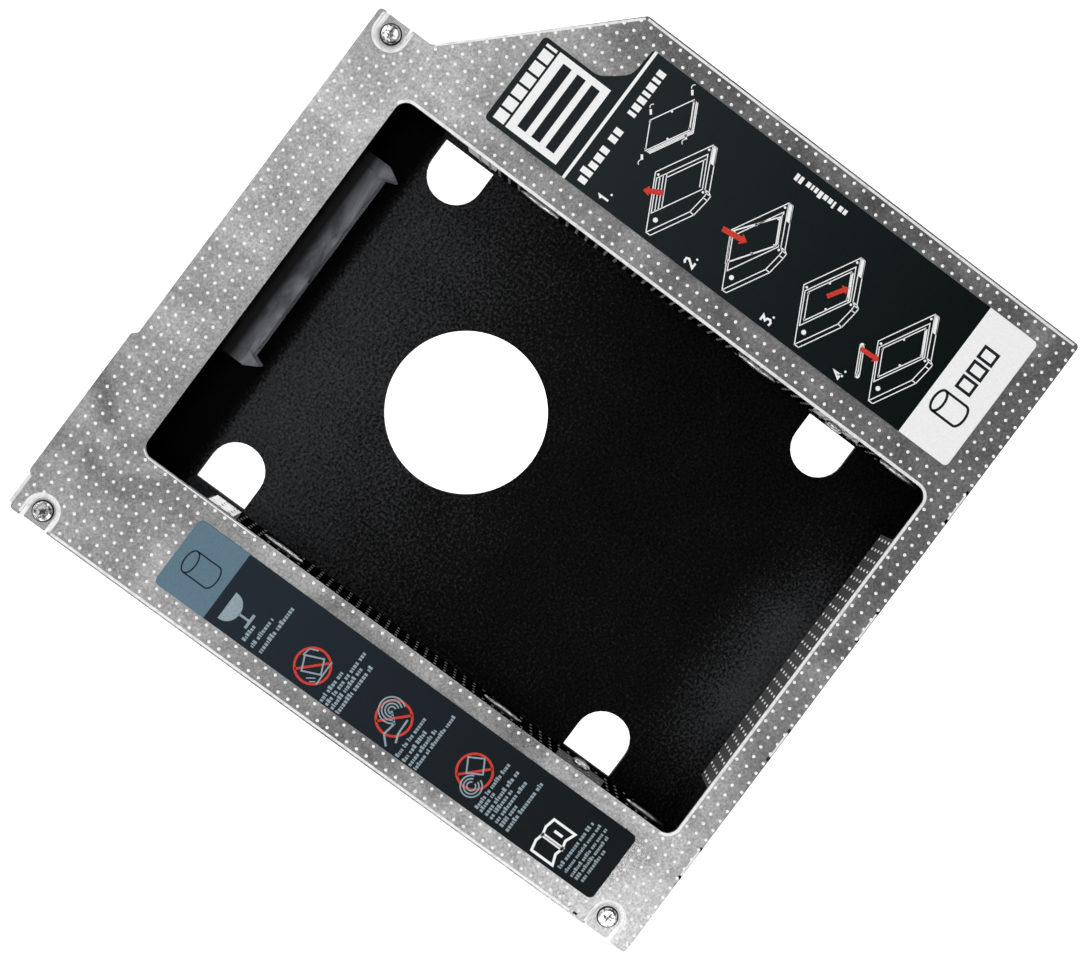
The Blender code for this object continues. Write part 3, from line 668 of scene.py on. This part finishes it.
def under_label(x, y, margin):
    """Whether a place is under a label, or within margin of it."""
    if in_box(x, y, LEFT_LABEL, margin):
        return True
    if not in_box(x, y, RIGHT_LABEL, margin):
        return False
    step_x, step_y = RIGHT_LABEL_STEP
    curve_x, curve_y = STEP_CURVE
    in_step = x > step_x + margin and y > step_y + margin
    near_curve = x < step_x + curve_x and y < step_y + curve_y
    near_curve = near_curve and (x - step_x) / curve_x + (y - step_y) / curve_y < 1
    return not in_step or near_curve


def dot_at(column, row):
    return DOT_FIRST[0] + DOT_PITCH * column, DOT_FIRST[1] + DOT_PITCH * row


def top_dots(look):
    """The dots of the top sheet."""
    bm = bmesh.new()
    rear_x, rear_y = CHAMFER[1]
    for column in range(DOT_COUNT):
        for row in range(DOT_COUNT):
            x, y = dot_at(column, row)
            covered = (
                in_box(x, y, (*BAY_X, *BAY_Y), CLEAR_OF_BAY)
                or in_recess(x, y, CLEAR_OF_FEATURE)
                or under_label(x, y, CLEAR_OF_FEATURE)
            )
            beside_rear_corner = x > rear_x - CLEAR_OF_REAR_STEP and y > rear_y
            outside = behind_chamfer(x, y, CLEAR_OF_CHAMFER) or beside_rear_corner
            if not covered and not outside:
                dome(bm, at(x, y), Vector((0, 0, 1)))
    return add_piece("sheet_dots_top", bm, look)


def on_spring(y, z):
    """Whether a dot of the side walls would lie on a pressed spring."""
    reach = SPRING_HALF + CLEAR_OF_SPRING
    return SPRING_Z[0] < z < SPRING_Z[1] and any(abs(y - spring) < reach for spring in SPRING_Y)


def side_dots(name, wall_x, out, first_z, look):
    """The dots of one of the bay's side walls, which looks along out in x."""
    bm = bmesh.new()
    first_y, last_y = SIDE_FLANGE_Y
    for row in range(DOT_COUNT):
        y = dot_at(0, row)[1]
        if first_y + CLEAR_OF_SIDE_END < y < last_y - CLEAR_OF_SIDE_END:
            for level in range(WALL_DOT_ROWS):
                z = first_z - DOT_PITCH * level
                if z > WALL_DOTS_LOWEST and not on_spring(y, z):
                    dome(bm, at(wall_x, y, z), Vector((out, 0, 0)))
    return add_piece(name, bm, look)


def front_dots(look):
    """The dots of the flange at the bay's front."""
    bm = bmesh.new()
    first_x, last_x = FRONT_FLANGE_X
    for column in range(DOT_COUNT):
        x = dot_at(column, 0)[0]
        if first_x + CLEAR_OF_FRONT_END < x < last_x - CLEAR_OF_FRONT_END:
            for level in range(WALL_DOT_ROWS):
                z = FRONT_WALL_DOTS_Z - DOT_PITCH * level
                dome(bm, at(x, BAY_Y[0], z), Vector((0, 1, 0)))
    return add_piece("front_flange_dots", bm, look)


# ---------------------------------------------------------------- cut edges, with painted shade and highlights


def tab_centre(index):
    return TAB_FIRST + TAB_PITCH * index


def tab_reliefs(look):
    """Dark blocks of painted shade, in the short slots of the case's front edge."""
    bm = bmesh.new()
    for index in range(TAB_COUNT):
        for side in (-1, 1):
            x = tab_centre(index) + RELIEF_OFFSET * side
            add_block(bm, (x - RELIEF_HALF, x + RELIEF_HALF), RELIEF_Y, RELIEF_Z)
    return add_piece("painted_shade_in_reliefs", bm, look)


def cross_outline(x, y, reach, half):
    """A cross with four equal arms along the axes."""
    steps = ((reach, half), (half, half), (half, reach))
    outline = []
    for side_x, side_y in ((1, 1), (-1, 1), (-1, -1), (1, -1)):
        corner = [(x + a * side_x, y + b * side_y) for a, b in steps]
        outline += corner if side_x == side_y else corner[::-1]
    return outline


def screw_shadows(look):
    """Painted shadows: the dark gap around each corner screw's head, and the dark bottom of its cross
    recess.
    """
    gaps = FlatMarks(-RECESS_DEPTH, SCREW_GAP_SHEET)
    crosses = FlatMarks(CROSS_FLOOR)
    radius = HEAD_RADIUS + SCREW_GAP_OUT
    for x, y, _ in CORNERS:
        gaps.line(arc(x, y, radius, radius, steps=32), SCREW_GAP_WIDTH, closed=True)
        crosses.area(cross_outline(x, y, CROSS_REACH, CROSS_HALF))
    gaps.make("screw_gap_shadows", look)
    crosses.make("screw_cross_shadows", look)


def bay_rims(marks):
    """The painted highlight on the bay's rim: wide round its right and front, thin at the rear of its left
    side.
    """
    turn = BAY_CORNER + RIM_OUT
    x0, y0 = BAY_X[0] - RIM_OUT, BAY_Y[0] - RIM_OUT
    x1, y1 = BAY_X[1] + RIM_OUT, BAY_Y[1] + RIM_OUT
    wide = arc(x1 - turn, y1 - turn, turn, turn, 70, 0, 6)
    wide += arc(x1 - turn, y0 + turn, turn, turn, 0, -90, 8)
    wide += arc(x0 + turn, y0 + turn, turn, turn, -90, -180, 8)
    marks.line(wide, RIM_WIDTH)
    thin = [(x0, y1 - THIN_RIM_LENGTH), (x0, y1 - turn)]
    thin += arc(x0 + turn, y1 - turn, turn, turn, 180, 130, 5)[1:]
    marks.line(thin, THIN_RIM_WIDTH)


def rims(look):
    """Painted highlights, as bright lines where the sheet turns down: at the bay, outer edges, corner
    recesses and front tabs.
    """
    marks = FlatMarks(0.0)
    bay_rims(marks)
    for edge in OUTER_EDGES:
        marks.line(edge, EDGE_WIDTH)
    for x, y, side in CORNERS:
        mouth = RECESS_MOUTH_X[side]
        ring = arc(x, y, RECESS_RIM, RECESS_RIM, 90, 90 + 180 * side, 16)
        marks.line([(mouth, ring[0][1])] + ring + [(mouth, ring[-1][1])], RECESS_RIM_WIDTH)
    half = RELIEF_OFFSET - TAB_LINE_SHORTER
    for index in range(TAB_COUNT):
        x = tab_centre(index)
        marks.line([(x - half, TAB_LINE_Y), (x + half, TAB_LINE_Y)], TAB_LINE_WIDTH)
    marks.make("painted_highlight_rims", look)


def highlight_pieces(look):
    """Painted highlights: a bright strip on the bent-down lip at the rear left, and a bright patch on the
    bay's left wall.
    """
    for name, sides in (
        ("rear_left_lip_highlight", LIP_HIGHLIGHT),
        ("highlight_on_left_wall", WALL_HIGHLIGHT),
    ):
        bm = bmesh.new()
        add_block(bm, *sides)
        add_piece(name, bm, look)


# ---------------------------------------------------------------- labels


BLOCK_WIDTHS = (0.32, 0.5, 0.5, 0.6)
BLOCK_HEIGHTS = (0.72, 0.72, 0.72, 1.0)
BLOCK_GAP = 0.2
WORD_GAP = 0.4
WORD_LENGTHS = (2, 8)


def greeked(marks, x, y, length, height, seed, upright=False):
    """A row of small blocks in word-like groups, where the real label has lettering."""
    draw = random.Random(seed)
    done = 0.0
    while done < length:
        for _ in range(draw.randint(*WORD_LENGTHS)):
            width = height * draw.choice(BLOCK_WIDTHS)
            tall = height * draw.choice(BLOCK_HEIGHTS)
            if done + width > length:
                return
            if upright:
                marks.bar(x - tall, x, y + done, y + done + width)
            else:
                marks.bar(x + done, x + done + width, y, y + tall)
            done += width + height * BLOCK_GAP
        done += height * WORD_GAP


def cylinder_sign(marks, x, y, half_width, height, width):
    """An upright drum in outline."""
    lid = half_width * 0.5
    top = y + height / 2 - lid
    bottom = y - height / 2 + lid
    marks.line(arc(x, top, half_width, lid), width, closed=True)
    body = [(x - half_width, top)]
    body += arc(x, bottom, half_width, lid, 180, 360, 14)
    body.append((x + half_width, top))
    marks.line(body, width)


def barred_ring(marks, x, y, radius, width):
    """A ring with a bar across it from upper left to lower right."""
    marks.line(arc(x, y, radius, radius, steps=40), width, closed=True)
    reach = radius * math.sqrt(0.5)
    marks.line([(x - reach, y + reach), (x + reach, y - reach)], width)


# Left label. Its header is paler from this y to the rear.
HEADER_FRONT = 90.5
HEADER_CORNER = 1
HEADER_DRUM = (10.4, 95.5, 2.1, 6.5, 0.24)
RINGS = ((8.35, 71.2), (9.3, 55.1), (10.0, 38.9))
RING_RADIUS = 3.05
RING_WIDTH = 0.42
SIGN_STROKE = 0.28
WAVE_STROKE = 0.26
ARM_STROKE = 0.34
PAGE_STROKE = 0.45

# Its rows of blocks: x, y, length and height of each row
PALE_ROWS = (
    (4.7, 82.6, 3.4, 0.75),
    (4.6, 80.9, 6.4, 0.75),
    (4.7, 79.2, 9.2, 0.85),
    (4.1, 66.3, 6.1, 0.8),
    (4.1, 65.2, 11.0, 0.8),
    (4.1, 64.1, 9.2, 0.8),
    (4.1, 62.9, 10.4, 0.85),
    (4.1, 50.6, 8.3, 0.75),
    (4.1, 49.2, 7.0, 0.75),
    (4.1, 48.0, 7.8, 0.75),
    (4.1, 46.9, 11.2, 0.7),
    (4.9, 34.7, 9.4, 0.75),
    (4.9, 33.8, 4.0, 0.75),
    (4.9, 32.7, 9.2, 0.8),
    (4.9, 31.7, 6.2, 0.75),
    (4.9, 30.6, 9.0, 0.75),
    (4.9, 29.5, 4.6, 0.75),
    (4.8, 28.3, 10.4, 0.8),
    (5.0, 17.4, 9.9, 0.75),
    (5.0, 16.2, 10.0, 0.6),
    (5.0, 15.0, 10.0, 0.65),
    (5.1, 14.0, 9.0, 0.65),
    (5.4, 13.0, 6.8, 0.7),
)
ROWS_IN = 0.3


def header_outline():
    x0, x1, _, y1 = LEFT_LABEL
    turn = HEADER_CORNER
    outline = [(x0, HEADER_FRONT), (x1, HEADER_FRONT), (x1, y1 - turn)]
    outline += arc(x1 - turn, y1 - turn, turn, turn, 0, 90, 5)[1:]
    outline += arc(x0 + turn, y1 - turn, turn, turn, 90, 180, 5)
    return outline


def goblet(marks):
    marks.area([(5.5, 88.6)] + arc(8.15, 88.3, 2.6, 2.3, 180, 360, 16) + [(10.8, 88.6)])
    marks.bar(7.95, 8.35, 84.2, 86.1)
    marks.bar(6.8, 9.5, 83.7, 84.2)


def shaken_box(marks):
    """A tilted box on a line, with strokes that show it shaken."""
    box = [(7.2, 69.6), (9.9, 69.6), (9.9, 72.9), (7.2, 72.9)]
    marks.line(turned_about(box, 8.5, 71.2, 24), SIGN_STROKE, closed=True)
    marks.line([(6.2, 68.9), (10.8, 69.0)], SIGN_STROKE)
    marks.line([(8.9, 73.6), (10.4, 73.3), (11.0, 71.9)], 0.24)
    marks.line([(6.1, 70.9), (7.0, 69.6)], 0.2)
    marks.line([(5.9, 70.1), (6.5, 69.3)], 0.2)


def waves_and_arm(marks):
    """Round waves over a bent arm."""
    for radius in (0.6, 1.15, 1.7, 2.25):
        marks.line(arc(10.2, 56.2, radius, radius, -40, 230, 20), WAVE_STROKE)
    marks.line([(4.7, 53.4), (6.2, 54.9), (8.6, 54.5), (10.1, 56.2)], ARM_STROKE)
    marks.line([(6.1, 52.4), (7.6, 53.0), (10.4, 53.1)], ARM_STROKE)


def block_and_waves(marks):
    """A tilted block beside round waves."""
    tilted = [(9.6, 38.0), (12.3, 38.0), (12.3, 40.8), (9.6, 40.8)]
    marks.line(turned_about(tilted, 11.0, 39.3, 30), SIGN_STROKE, closed=True)
    for radius in (0.75, 1.3, 1.85):
        marks.line(arc(7.7, 37.9, radius, radius, 20, 340, 22), WAVE_STROKE)


def open_book(marks):
    """Two mirrored pages, with a plain bar on the right one."""
    fold = 8.2
    left_page = [(5.0, 23.3), (6.8, 23.7), (8.35, 23.3), (8.35, 19.2), (6.8, 19.6), (5.0, 18.9)]
    right_page = [(2 * fold - x, y) for x, y in left_page]
    marks.line(left_page, PAGE_STROKE, closed=True)
    marks.line(right_page, PAGE_STROKE, closed=True)
    marks.bar(9.6, 10.1, 20.4, 22.1)


def left_label_art(looks):
    header = FlatMarks()
    header.area(header_outline())
    header.make("left_label_header", looks["slate"])

    dark = FlatMarks(LABEL_TOP + PRINT_SHEET)
    cylinder_sign(dark, *HEADER_DRUM)
    dark.make("left_label_drum", looks["dark_ink_and_shade"])

    red = FlatMarks()
    for x, y in RINGS:
        barred_ring(red, x, y, RING_RADIUS, RING_WIDTH)
    red.make("left_label_rings", looks["red"])

    pale = FlatMarks(LABEL_TOP + PRINT_SHEET)
    for sign in (goblet, shaken_box, waves_and_arm, block_and_waves):
        sign(pale)
    for seed, (x, y, length, height) in enumerate(PALE_ROWS):
        greeked(pale, x + ROWS_IN, y, length, height, seed)
    pale.make("left_label_prints", looks["ink_grey"])

    white = FlatMarks()
    open_book(white)
    white.make("left_label_book", looks["white"])


# The little pictures of the steps: two slanted directions of one flat drawing, and where each one starts
ALONG = Vector((8.9, 4.7))
ACROSS = Vector((9.3, -5.0))
THICK = 0.85
STROKE = 0.17
STEP_X = 99.25
STEP_YS = (69.9, 54.04, 38.87, 23.2)
CASE_EDGE = [(0, 0), (0, 0.76), (0.14, 0.97), (0.19, 1.02), (0.27, 0.98), (1, 1), (1, 0)]
CASE_HOLE = (0.14, 0.14)
CASE_SCREWS = ((0.93, 0.06), (0.95, 0.94), (0.24, 0.95))
SEATED_DRIVE = (0.35, 0.83, 0.11, 0.86)
LIFTED_FRONT = -1.1
SPACER_LIFT = -1.2


class Picture:
    """A line drawing of the adapter, from its left corner; a runs along its front, b to its rear."""

    def __init__(self, marks, x, y):
        self.marks = marks
        self.base = Vector((x, y))

    def spot(self, a, b, lower=0.0):
        place = self.base + ALONG * a + ACROSS * b
        return (place.x, place.y - lower)

    def path(self, spots, lower=0.0, closed=False, width=STROKE):
        self.marks.line([self.spot(a, b, lower) for a, b in spots], width, closed)

    def case(self):
        """The case with its near faces, plug, hole and screws."""
        seen = CASE_EDGE[:6]
        self.path(CASE_EDGE, closed=True)
        self.path(seen, THICK)
        for a, b in seen:
            self.marks.line([self.spot(a, b), self.spot(a, b, THICK)], STROKE)
        plug = [(0.7, THICK), (1.0, THICK), (1.0, 0.0), (0.7, 0.0)]
        self.marks.area([self.spot(a, 1.0, lower) for a, lower in plug])
        self.marks.disc(*self.spot(*CASE_HOLE), 0.42)
        for a, b in CASE_SCREWS:
            self.marks.disc(*self.spot(a, b), 0.22, 10)

    def bay(self):
        """The open recess."""
        self.path([(0.3, 0.04), (0.3, 0.93), (0.88, 0.93), (0.88, 0.04)], closed=True)

    def drive(self, low, high, front, rear):
        """A drive with a thick rear edge and six screws a little in from its edge."""
        inset = 0.05
        corners = [(low, front), (low, rear), (high, rear), (high, front)]
        self.path(corners, closed=True)
        self.path(corners[1:3], 0.28, width=STROKE * 1.6)
        middle = (front + rear) / 2
        for a, b in corners + [(low, middle), (high, middle)]:
            inwards = (high - low) * (inset if a == low else -inset)
            self.marks.disc(*self.spot(a + inwards, b), 0.2, 10)


def arrow(marks, start, end, width):
    """A solid arrow with a head about twice as wide as its shaft."""
    head_length, head_width = 1.3, 2.1
    start, end = Vector(start), Vector(end)
    along = (end - start).normalized()
    side = Vector((-along.y, along.x)) * width / 2
    barb = side * head_width
    neck = end - along * width * head_length
    points = [start - side, neck - side, neck - barb, end, neck + barb, neck + side, start + side]
    marks.area([tuple(point) for point in points])


# Numerals as strokes in a unit box
NUMERALS = {
    1: [(0.1, 0.75), (0.5, 1.0), (0.5, 0.0)],
    2: [(0, 0.85), (0.3, 1), (0.8, 1), (1, 0.75), (0, 0), (1, 0)],
    3: [(0, 1), (1, 1), (0.4, 0.6), (0.9, 0.5), (1, 0.2), (0.6, 0), (0, 0.05)],
    4: [(0.75, 0), (0.75, 1), (0, 0.3), (1, 0.3)],
}
NUMERAL_X = 99.1
NUMERAL_YS = (78.0, 60.2, 44.2, 29.1)
NUMERAL_HEIGHT = 1.75
NUMERAL_WIDTH = NUMERAL_HEIGHT * 0.55


def digit(marks, number, y):
    """A plain block numeral with a full stop."""
    stroke = [(NUMERAL_X + a * NUMERAL_WIDTH, y + b * NUMERAL_HEIGHT) for a, b in NUMERALS[number]]
    marks.line(stroke, NUMERAL_HEIGHT * 0.21)
    marks.disc(NUMERAL_X + NUMERAL_WIDTH * 1.7, y + 0.14, 0.2, 10)


def first_step(picture, white, red):
    """The empty adapter, and a drive with its four screws beside it."""
    for front in (0.1, 0.16, 0.22):
        picture.path([(0.3, front), (0.88, front)])
    picture.path([(0.81, 0.22), (0.81, 0.93)])
    picture.path([(0.36, 0.87), (0.81, 0.87)])
    drive = Picture(white, 109.95, 78.05)
    drive.drive(0.0, 0.505, 0.0, 0.76)
    for lower in (0.3, 0.55, 0.8):
        drive.path([(0, 0), (0, 0.76), (0.505, 0.76)], lower)
    for a, b, side in ((0, -0.06, -1), (0, 0.7, -1), (0.56, 0.0, 1), (0.56, 0.72, 1)):
        x, y = drive.spot(a, b)
        white.line([(x + side * 0.3, y + side * 0.2), (x + side * 1.0, y + side * 0.75)], 0.4)
        head = arc(x + side * 1.5, y + side * 0.8, 0.45, 0.35, 90 - side * 90, 90 + side * 60, 8)
        white.line(head, 0.14)
    arrow(red, (106.2, 71.4), (104.5, 74.5), 0.85)


def second_step(picture, white, red):
    """The drive set in, with its front still lifted."""
    front_left, front_right = picture.spot(0.34, 0.1, LIFTED_FRONT), picture.spot(0.86, 0.1, LIFTED_FRONT)
    tilted = [front_left, picture.spot(0.34, 0.88), picture.spot(0.82, 0.88), front_right]
    white.line(tilted, STROKE * 1.4, closed=True)
    picture.path([(0.34, 0.92), (0.84, 0.92)], width=0.35)
    for a, b, lower in (
        (0.36, 0.13, LIFTED_FRONT),
        (0.35, 0.5, -0.5),
        (0.36, 0.85, 0),
        (0.8, 0.85, 0),
        (0.83, 0.5, -0.5),
    ):
        white.disc(*picture.spot(a, b, lower), 0.22, 10)
    arrow(red, (107.4, 60.1), (108.0, 55.4), 0.95)


def third_step(picture, white, red):
    """The drive pushed home."""
    picture.drive(*SEATED_DRIVE)
    arrow(red, (108.9, 39.3), (112.3, 37.2), 0.8)


def fourth_step(picture, white, red):
    """The spacer bar over the gap in front of the drive."""
    picture.drive(*SEATED_DRIVE)
    for b in (-0.13, -0.17, -0.21):
        picture.path([(0.42, b), (0.93, b)], SPACER_LIFT)
    for a in (0.42, 0.93):
        white.disc(*picture.spot(a, -0.17, SPACER_LIFT), 0.42)
    arrow(red, (105.4, 29.5), (105.6, 25.8), 0.8)


def step_pictures(white, red):
    for y, step in zip(STEP_YS, (first_step, second_step, third_step, fourth_step)):
        picture = Picture(white, STEP_X, y)
        picture.case()
        picture.bay()
        step(picture, white, red)


# Right label. Its front end is a white block, up to this y, with a drum and three open boxes on it.
WHITE_BLOCK_REAR = 16.06
WHITE_BLOCK_CORNER = 0.8
WHITE_BARS = (
    (99.2, 114.3, 99.35, 101.5),
    (99.15, 114.4, 88.5, 98.95),
    (RIGHT_LABEL[0] - 0.05, RIGHT_LABEL[1] + 0.05, 86.0, 86.55),
)
HEADING_GAPS = 6
HEADING_GAP_PITCH = 2.42
SQUARE_BARS = 3
SQUARE_BAR_PITCH = 2.9
BLOCK_DRUM = (106.35, 11.5, 2.0, 6.4, 0.44)
BLOCK_BOXES = 3
BLOCK_BOX_PITCH = 3.05
BLOCK_BOX_STROKE = 0.52


def white_block_outline():
    x0, x1, y0, _ = RIGHT_LABEL
    turn = WHITE_BLOCK_CORNER
    outline = [(x0, WHITE_BLOCK_REAR), (x0, y0 + turn)]
    outline += arc(x0 + turn, y0 + turn, turn, turn, 180, 270, 5)[1:]
    outline += arc(x1 - turn, y0 + turn, turn, turn, 270, 360, 5)
    outline.append((x1, WHITE_BLOCK_REAR))
    return outline


def right_label_art(looks):
    white = FlatMarks()
    red = FlatMarks(LABEL_TOP + PRINT_SHEET)
    for bar in WHITE_BARS:
        white.bar(*bar)
    greeked(white, 99.3, 82.7, 11.6, 2.1, 41)
    greeked(white, 113.1, 82.7, 9.5, 2.1, 42)
    for index, y in enumerate(NUMERAL_YS):
        digit(white, index + 1, y)
    greeked(white, 122.3, 45.0, 11.5, 1.25, 43, upright=True)
    white.area(white_block_outline())
    step_pictures(white, red)
    white.make("right_label_prints", looks["white"])
    red.make("right_label_arrows", looks["red"])

    dark = FlatMarks(LABEL_TOP + PRINT_SHEET)
    for index in range(HEADING_GAPS):
        x = 101.2 + HEADING_GAP_PITCH * index
        dark.bar(x, x + 0.45, 99.3, 101.55)
    for index in range(SQUARE_BARS):
        y = 89.9 + SQUARE_BAR_PITCH * index
        dark.bar(100.4, 113.2, y, y + 1.7)
    cylinder_sign(dark, *BLOCK_DRUM)
    for index in range(BLOCK_BOXES):
        x = 110.1 + BLOCK_BOX_PITCH * index
        box = [(x, 10.1), (x + 2.1, 10.1), (x + 2.1, 12.8), (x, 12.8)]
        dark.line(box, BLOCK_BOX_STROKE, closed=True)
    dark.make("right_label_dark_prints", looks["dark_ink_and_shade"])


# ---------------------------------------------------------------- stage


def add_floor():
    """A plain white floor just under the case."""
    bm = bmesh.new()
    bmesh.ops.create_grid(bm, x_segments=1, y_segments=1, size=FLOOR_REACH)
    mesh = bpy.data.meshes.new("floor")
    bm.to_mesh(mesh)
    bm.free()
    floor = bpy.data.objects.new("floor", mesh)
    bpy.context.scene.collection.objects.link(floor)
    floor.location.z = CAD_BOX[0].z - FLOOR_BELOW * MM
    look = Look("paper_floor", grey(0.92), 0.9, specular=0.0)
    look.shader.inputs["Emission Color"].default_value = (1, 1, 1, 1)
    look.shader.inputs["Emission Strength"].default_value = 1.0
    mesh.materials.append(look.material)


def add_light(name, place, target, size, power):
    """A rectangular light that faces its target."""
    data = bpy.data.lights.new(name, "AREA")
    data.shape = "RECTANGLE"
    data.size, data.size_y = size
    data.energy = power
    light = bpy.data.objects.new(name, data)
    bpy.context.scene.collection.objects.link(light)
    light.location = place
    light.rotation_euler = (Vector(target) - Vector(place)).to_track_quat("-Z", "Y").to_euler()


def add_world():
    """A light tent: pale round the sides and dim overhead, so that flat metal doesn't wash out."""
    world = bpy.data.worlds.new("studio")
    bpy.context.scene.world = world
    world.use_nodes = True
    tree = world.node_tree
    place = tree.nodes.new("ShaderNodeTexCoord")
    split = tree.nodes.new("ShaderNodeSeparateXYZ")
    tree.links.new(place.outputs["Generated"], split.inputs["Vector"])
    height = tree.nodes.new("ShaderNodeMapRange")
    height.interpolation_type = "SMOOTHSTEP"
    for socket, value in (
        ("From Min", TENT_DIMS[0]),
        ("From Max", TENT_DIMS[1]),
        ("To Min", TENT_SIDES),
        ("To Max", TENT_TOP),
    ):
        height.inputs[socket].default_value = value
    tree.links.new(split.outputs["Z"], height.inputs["Value"])
    background = tree.nodes["Background"]
    background.inputs["Color"].default_value = (1, 1, 1, 1)
    tree.links.new(height.outputs["Result"], background.inputs["Strength"])


def add_lights():
    """The panels, each with the power that gives its radiance."""
    for name, x, y, height, size, radiance in PANELS:
        power = radiance * math.pi * size[0] * size[1]
        add_light(name, at(x, y, height), at(*PANELS_FACE), size, power)


def add_camera():
    """Nearly straight down, with the image's top turned towards the case's right rear corner."""
    place, target = at(*CAMERA_PLACE), at(*CAMERA_TARGET)
    turn = math.radians(CAMERA_TURN)
    back = (place - target).normalized()
    right = Vector((math.cos(turn), math.sin(turn), 0)).cross(back).normalized()
    up = back.cross(right)
    data = bpy.data.cameras.new("camera")
    data.lens = CAMERA_LENS
    data.sensor_width = CAMERA_SENSOR
    data.shift_x, data.shift_y = CAMERA_SHIFT
    data.clip_start = CAMERA_CLIP
    camera = bpy.data.objects.new("camera", data)
    bpy.context.scene.collection.objects.link(camera)
    camera.matrix_world = Matrix.Translation(place) @ Matrix((right, up, back)).transposed().to_4x4()
    bpy.context.scene.camera = camera


# ---------------------------------------------------------------- the whole scene

bpy.context.scene.view_settings.view_transform = "Standard"

looks = {
    "slate": speckled("slate_ink", (0.095, 0.17, 0.225), (0.115, 0.2, 0.26), 0.45, 0.4),
    "white": speckled("white_ink", grey(0.88), grey(0.97), 0.45, 0.3),
    "red": speckled("red_ink", (0.52, 0.03, 0.02), (0.68, 0.05, 0.03), 0.45, 0.3),
    "ink_grey": speckled("grey_ink", (0.22, 0.29, 0.33), (0.33, 0.41, 0.46), 0.45, 0.3),
    "dark_ink_and_shade": speckled("dark_ink_and_painted_shade", (0.006, 0.009, 0.012), (0.014, 0.018, 0.022), 0.45, 0.3, 0.15),
}
steel = plated("plated_steel", (0.95, 0.95, 0.93), (0.1, 0.1, 0.1), 0.14, 0.9)
gold = plated("gold_plate", (0.85, 0.62, 0.25), (0.5, 0.33, 0.12), 0.22, 0.4)
coat = black_coat()
mask = speckled("solder_mask", (0.006, 0.01, 0.008), (0.012, 0.018, 0.014), 0.35, 0.6)
ceramic = speckled("tan_ceramic", (0.28, 0.18, 0.1), (0.38, 0.27, 0.16), 0.5, 0.2)
moulding = speckled("yellow_moulding", (0.55, 0.33, 0.05), (0.7, 0.46, 0.1), 0.5, 0.3)
resistor = speckled("resistor_film", grey(0.012), grey(0.03), 0.4, 0.2)
navy = printed_film("navy_film", (0.002, 0.005, 0.006), (0.013, 0.02, 0.029))
black = printed_film("black_film", (0.001, 0.0035, 0.0035), (0.013, 0.018, 0.021))

dress(satin_aluminium(), "top_housing")
dress(coat, "bottom_tray")
dress(steel, "corner_post_*", "corner_screw_*", "board_screw_*")
dress(dark_plastic(), "drive_receptacle", "slimline_plug")
dress(gold, "receptacle_signal_contact_*", "receptacle_power_contact_*")
dress(gold, "plug_signal_contact_*", "plug_power_contact_*")
dress(mask, "adapter_board")
dress(ceramic, "ceramic_capacitor_*")
dress(moulding, "tantalum_capacitor")
dress(resistor, "chip_resistor")
dress(navy, "left_label")
dress(black, "right_label")

# The dots' colours are painted light: highlights on the top sheet and front flange, shade on the side walls
wall_dots = dot_painted_light("wall_dot_painted_shade", 0.06, 0.22, 0.03)
highlight_look = painted_highlight()
top_dots(dot_painted_light("dot_painted_light", 0.82, 1.0, 0.5))
side_dots("left_flange_dots", BAY_X[0], 1, LEFT_WALL_DOTS_Z, wall_dots)
side_dots("right_flange_dots", BAY_X[1], -1, RIGHT_WALL_DOTS_Z, wall_dots)
front_dots(dot_painted_light("front_dot_painted_highlight", 0.55, 0.95, 0.05))
# Painted shade in the front slots
tab_reliefs(coat)
# Painted highlights on the rims and on two small blocks
rims(highlight_look)
highlight_pieces(highlight_look)
# Painted shadows at the corner screws
screw_shadows(looks["dark_ink_and_shade"])
left_label_art(looks)
right_label_art(looks)

add_floor()
add_world()
add_lights()
add_camera()
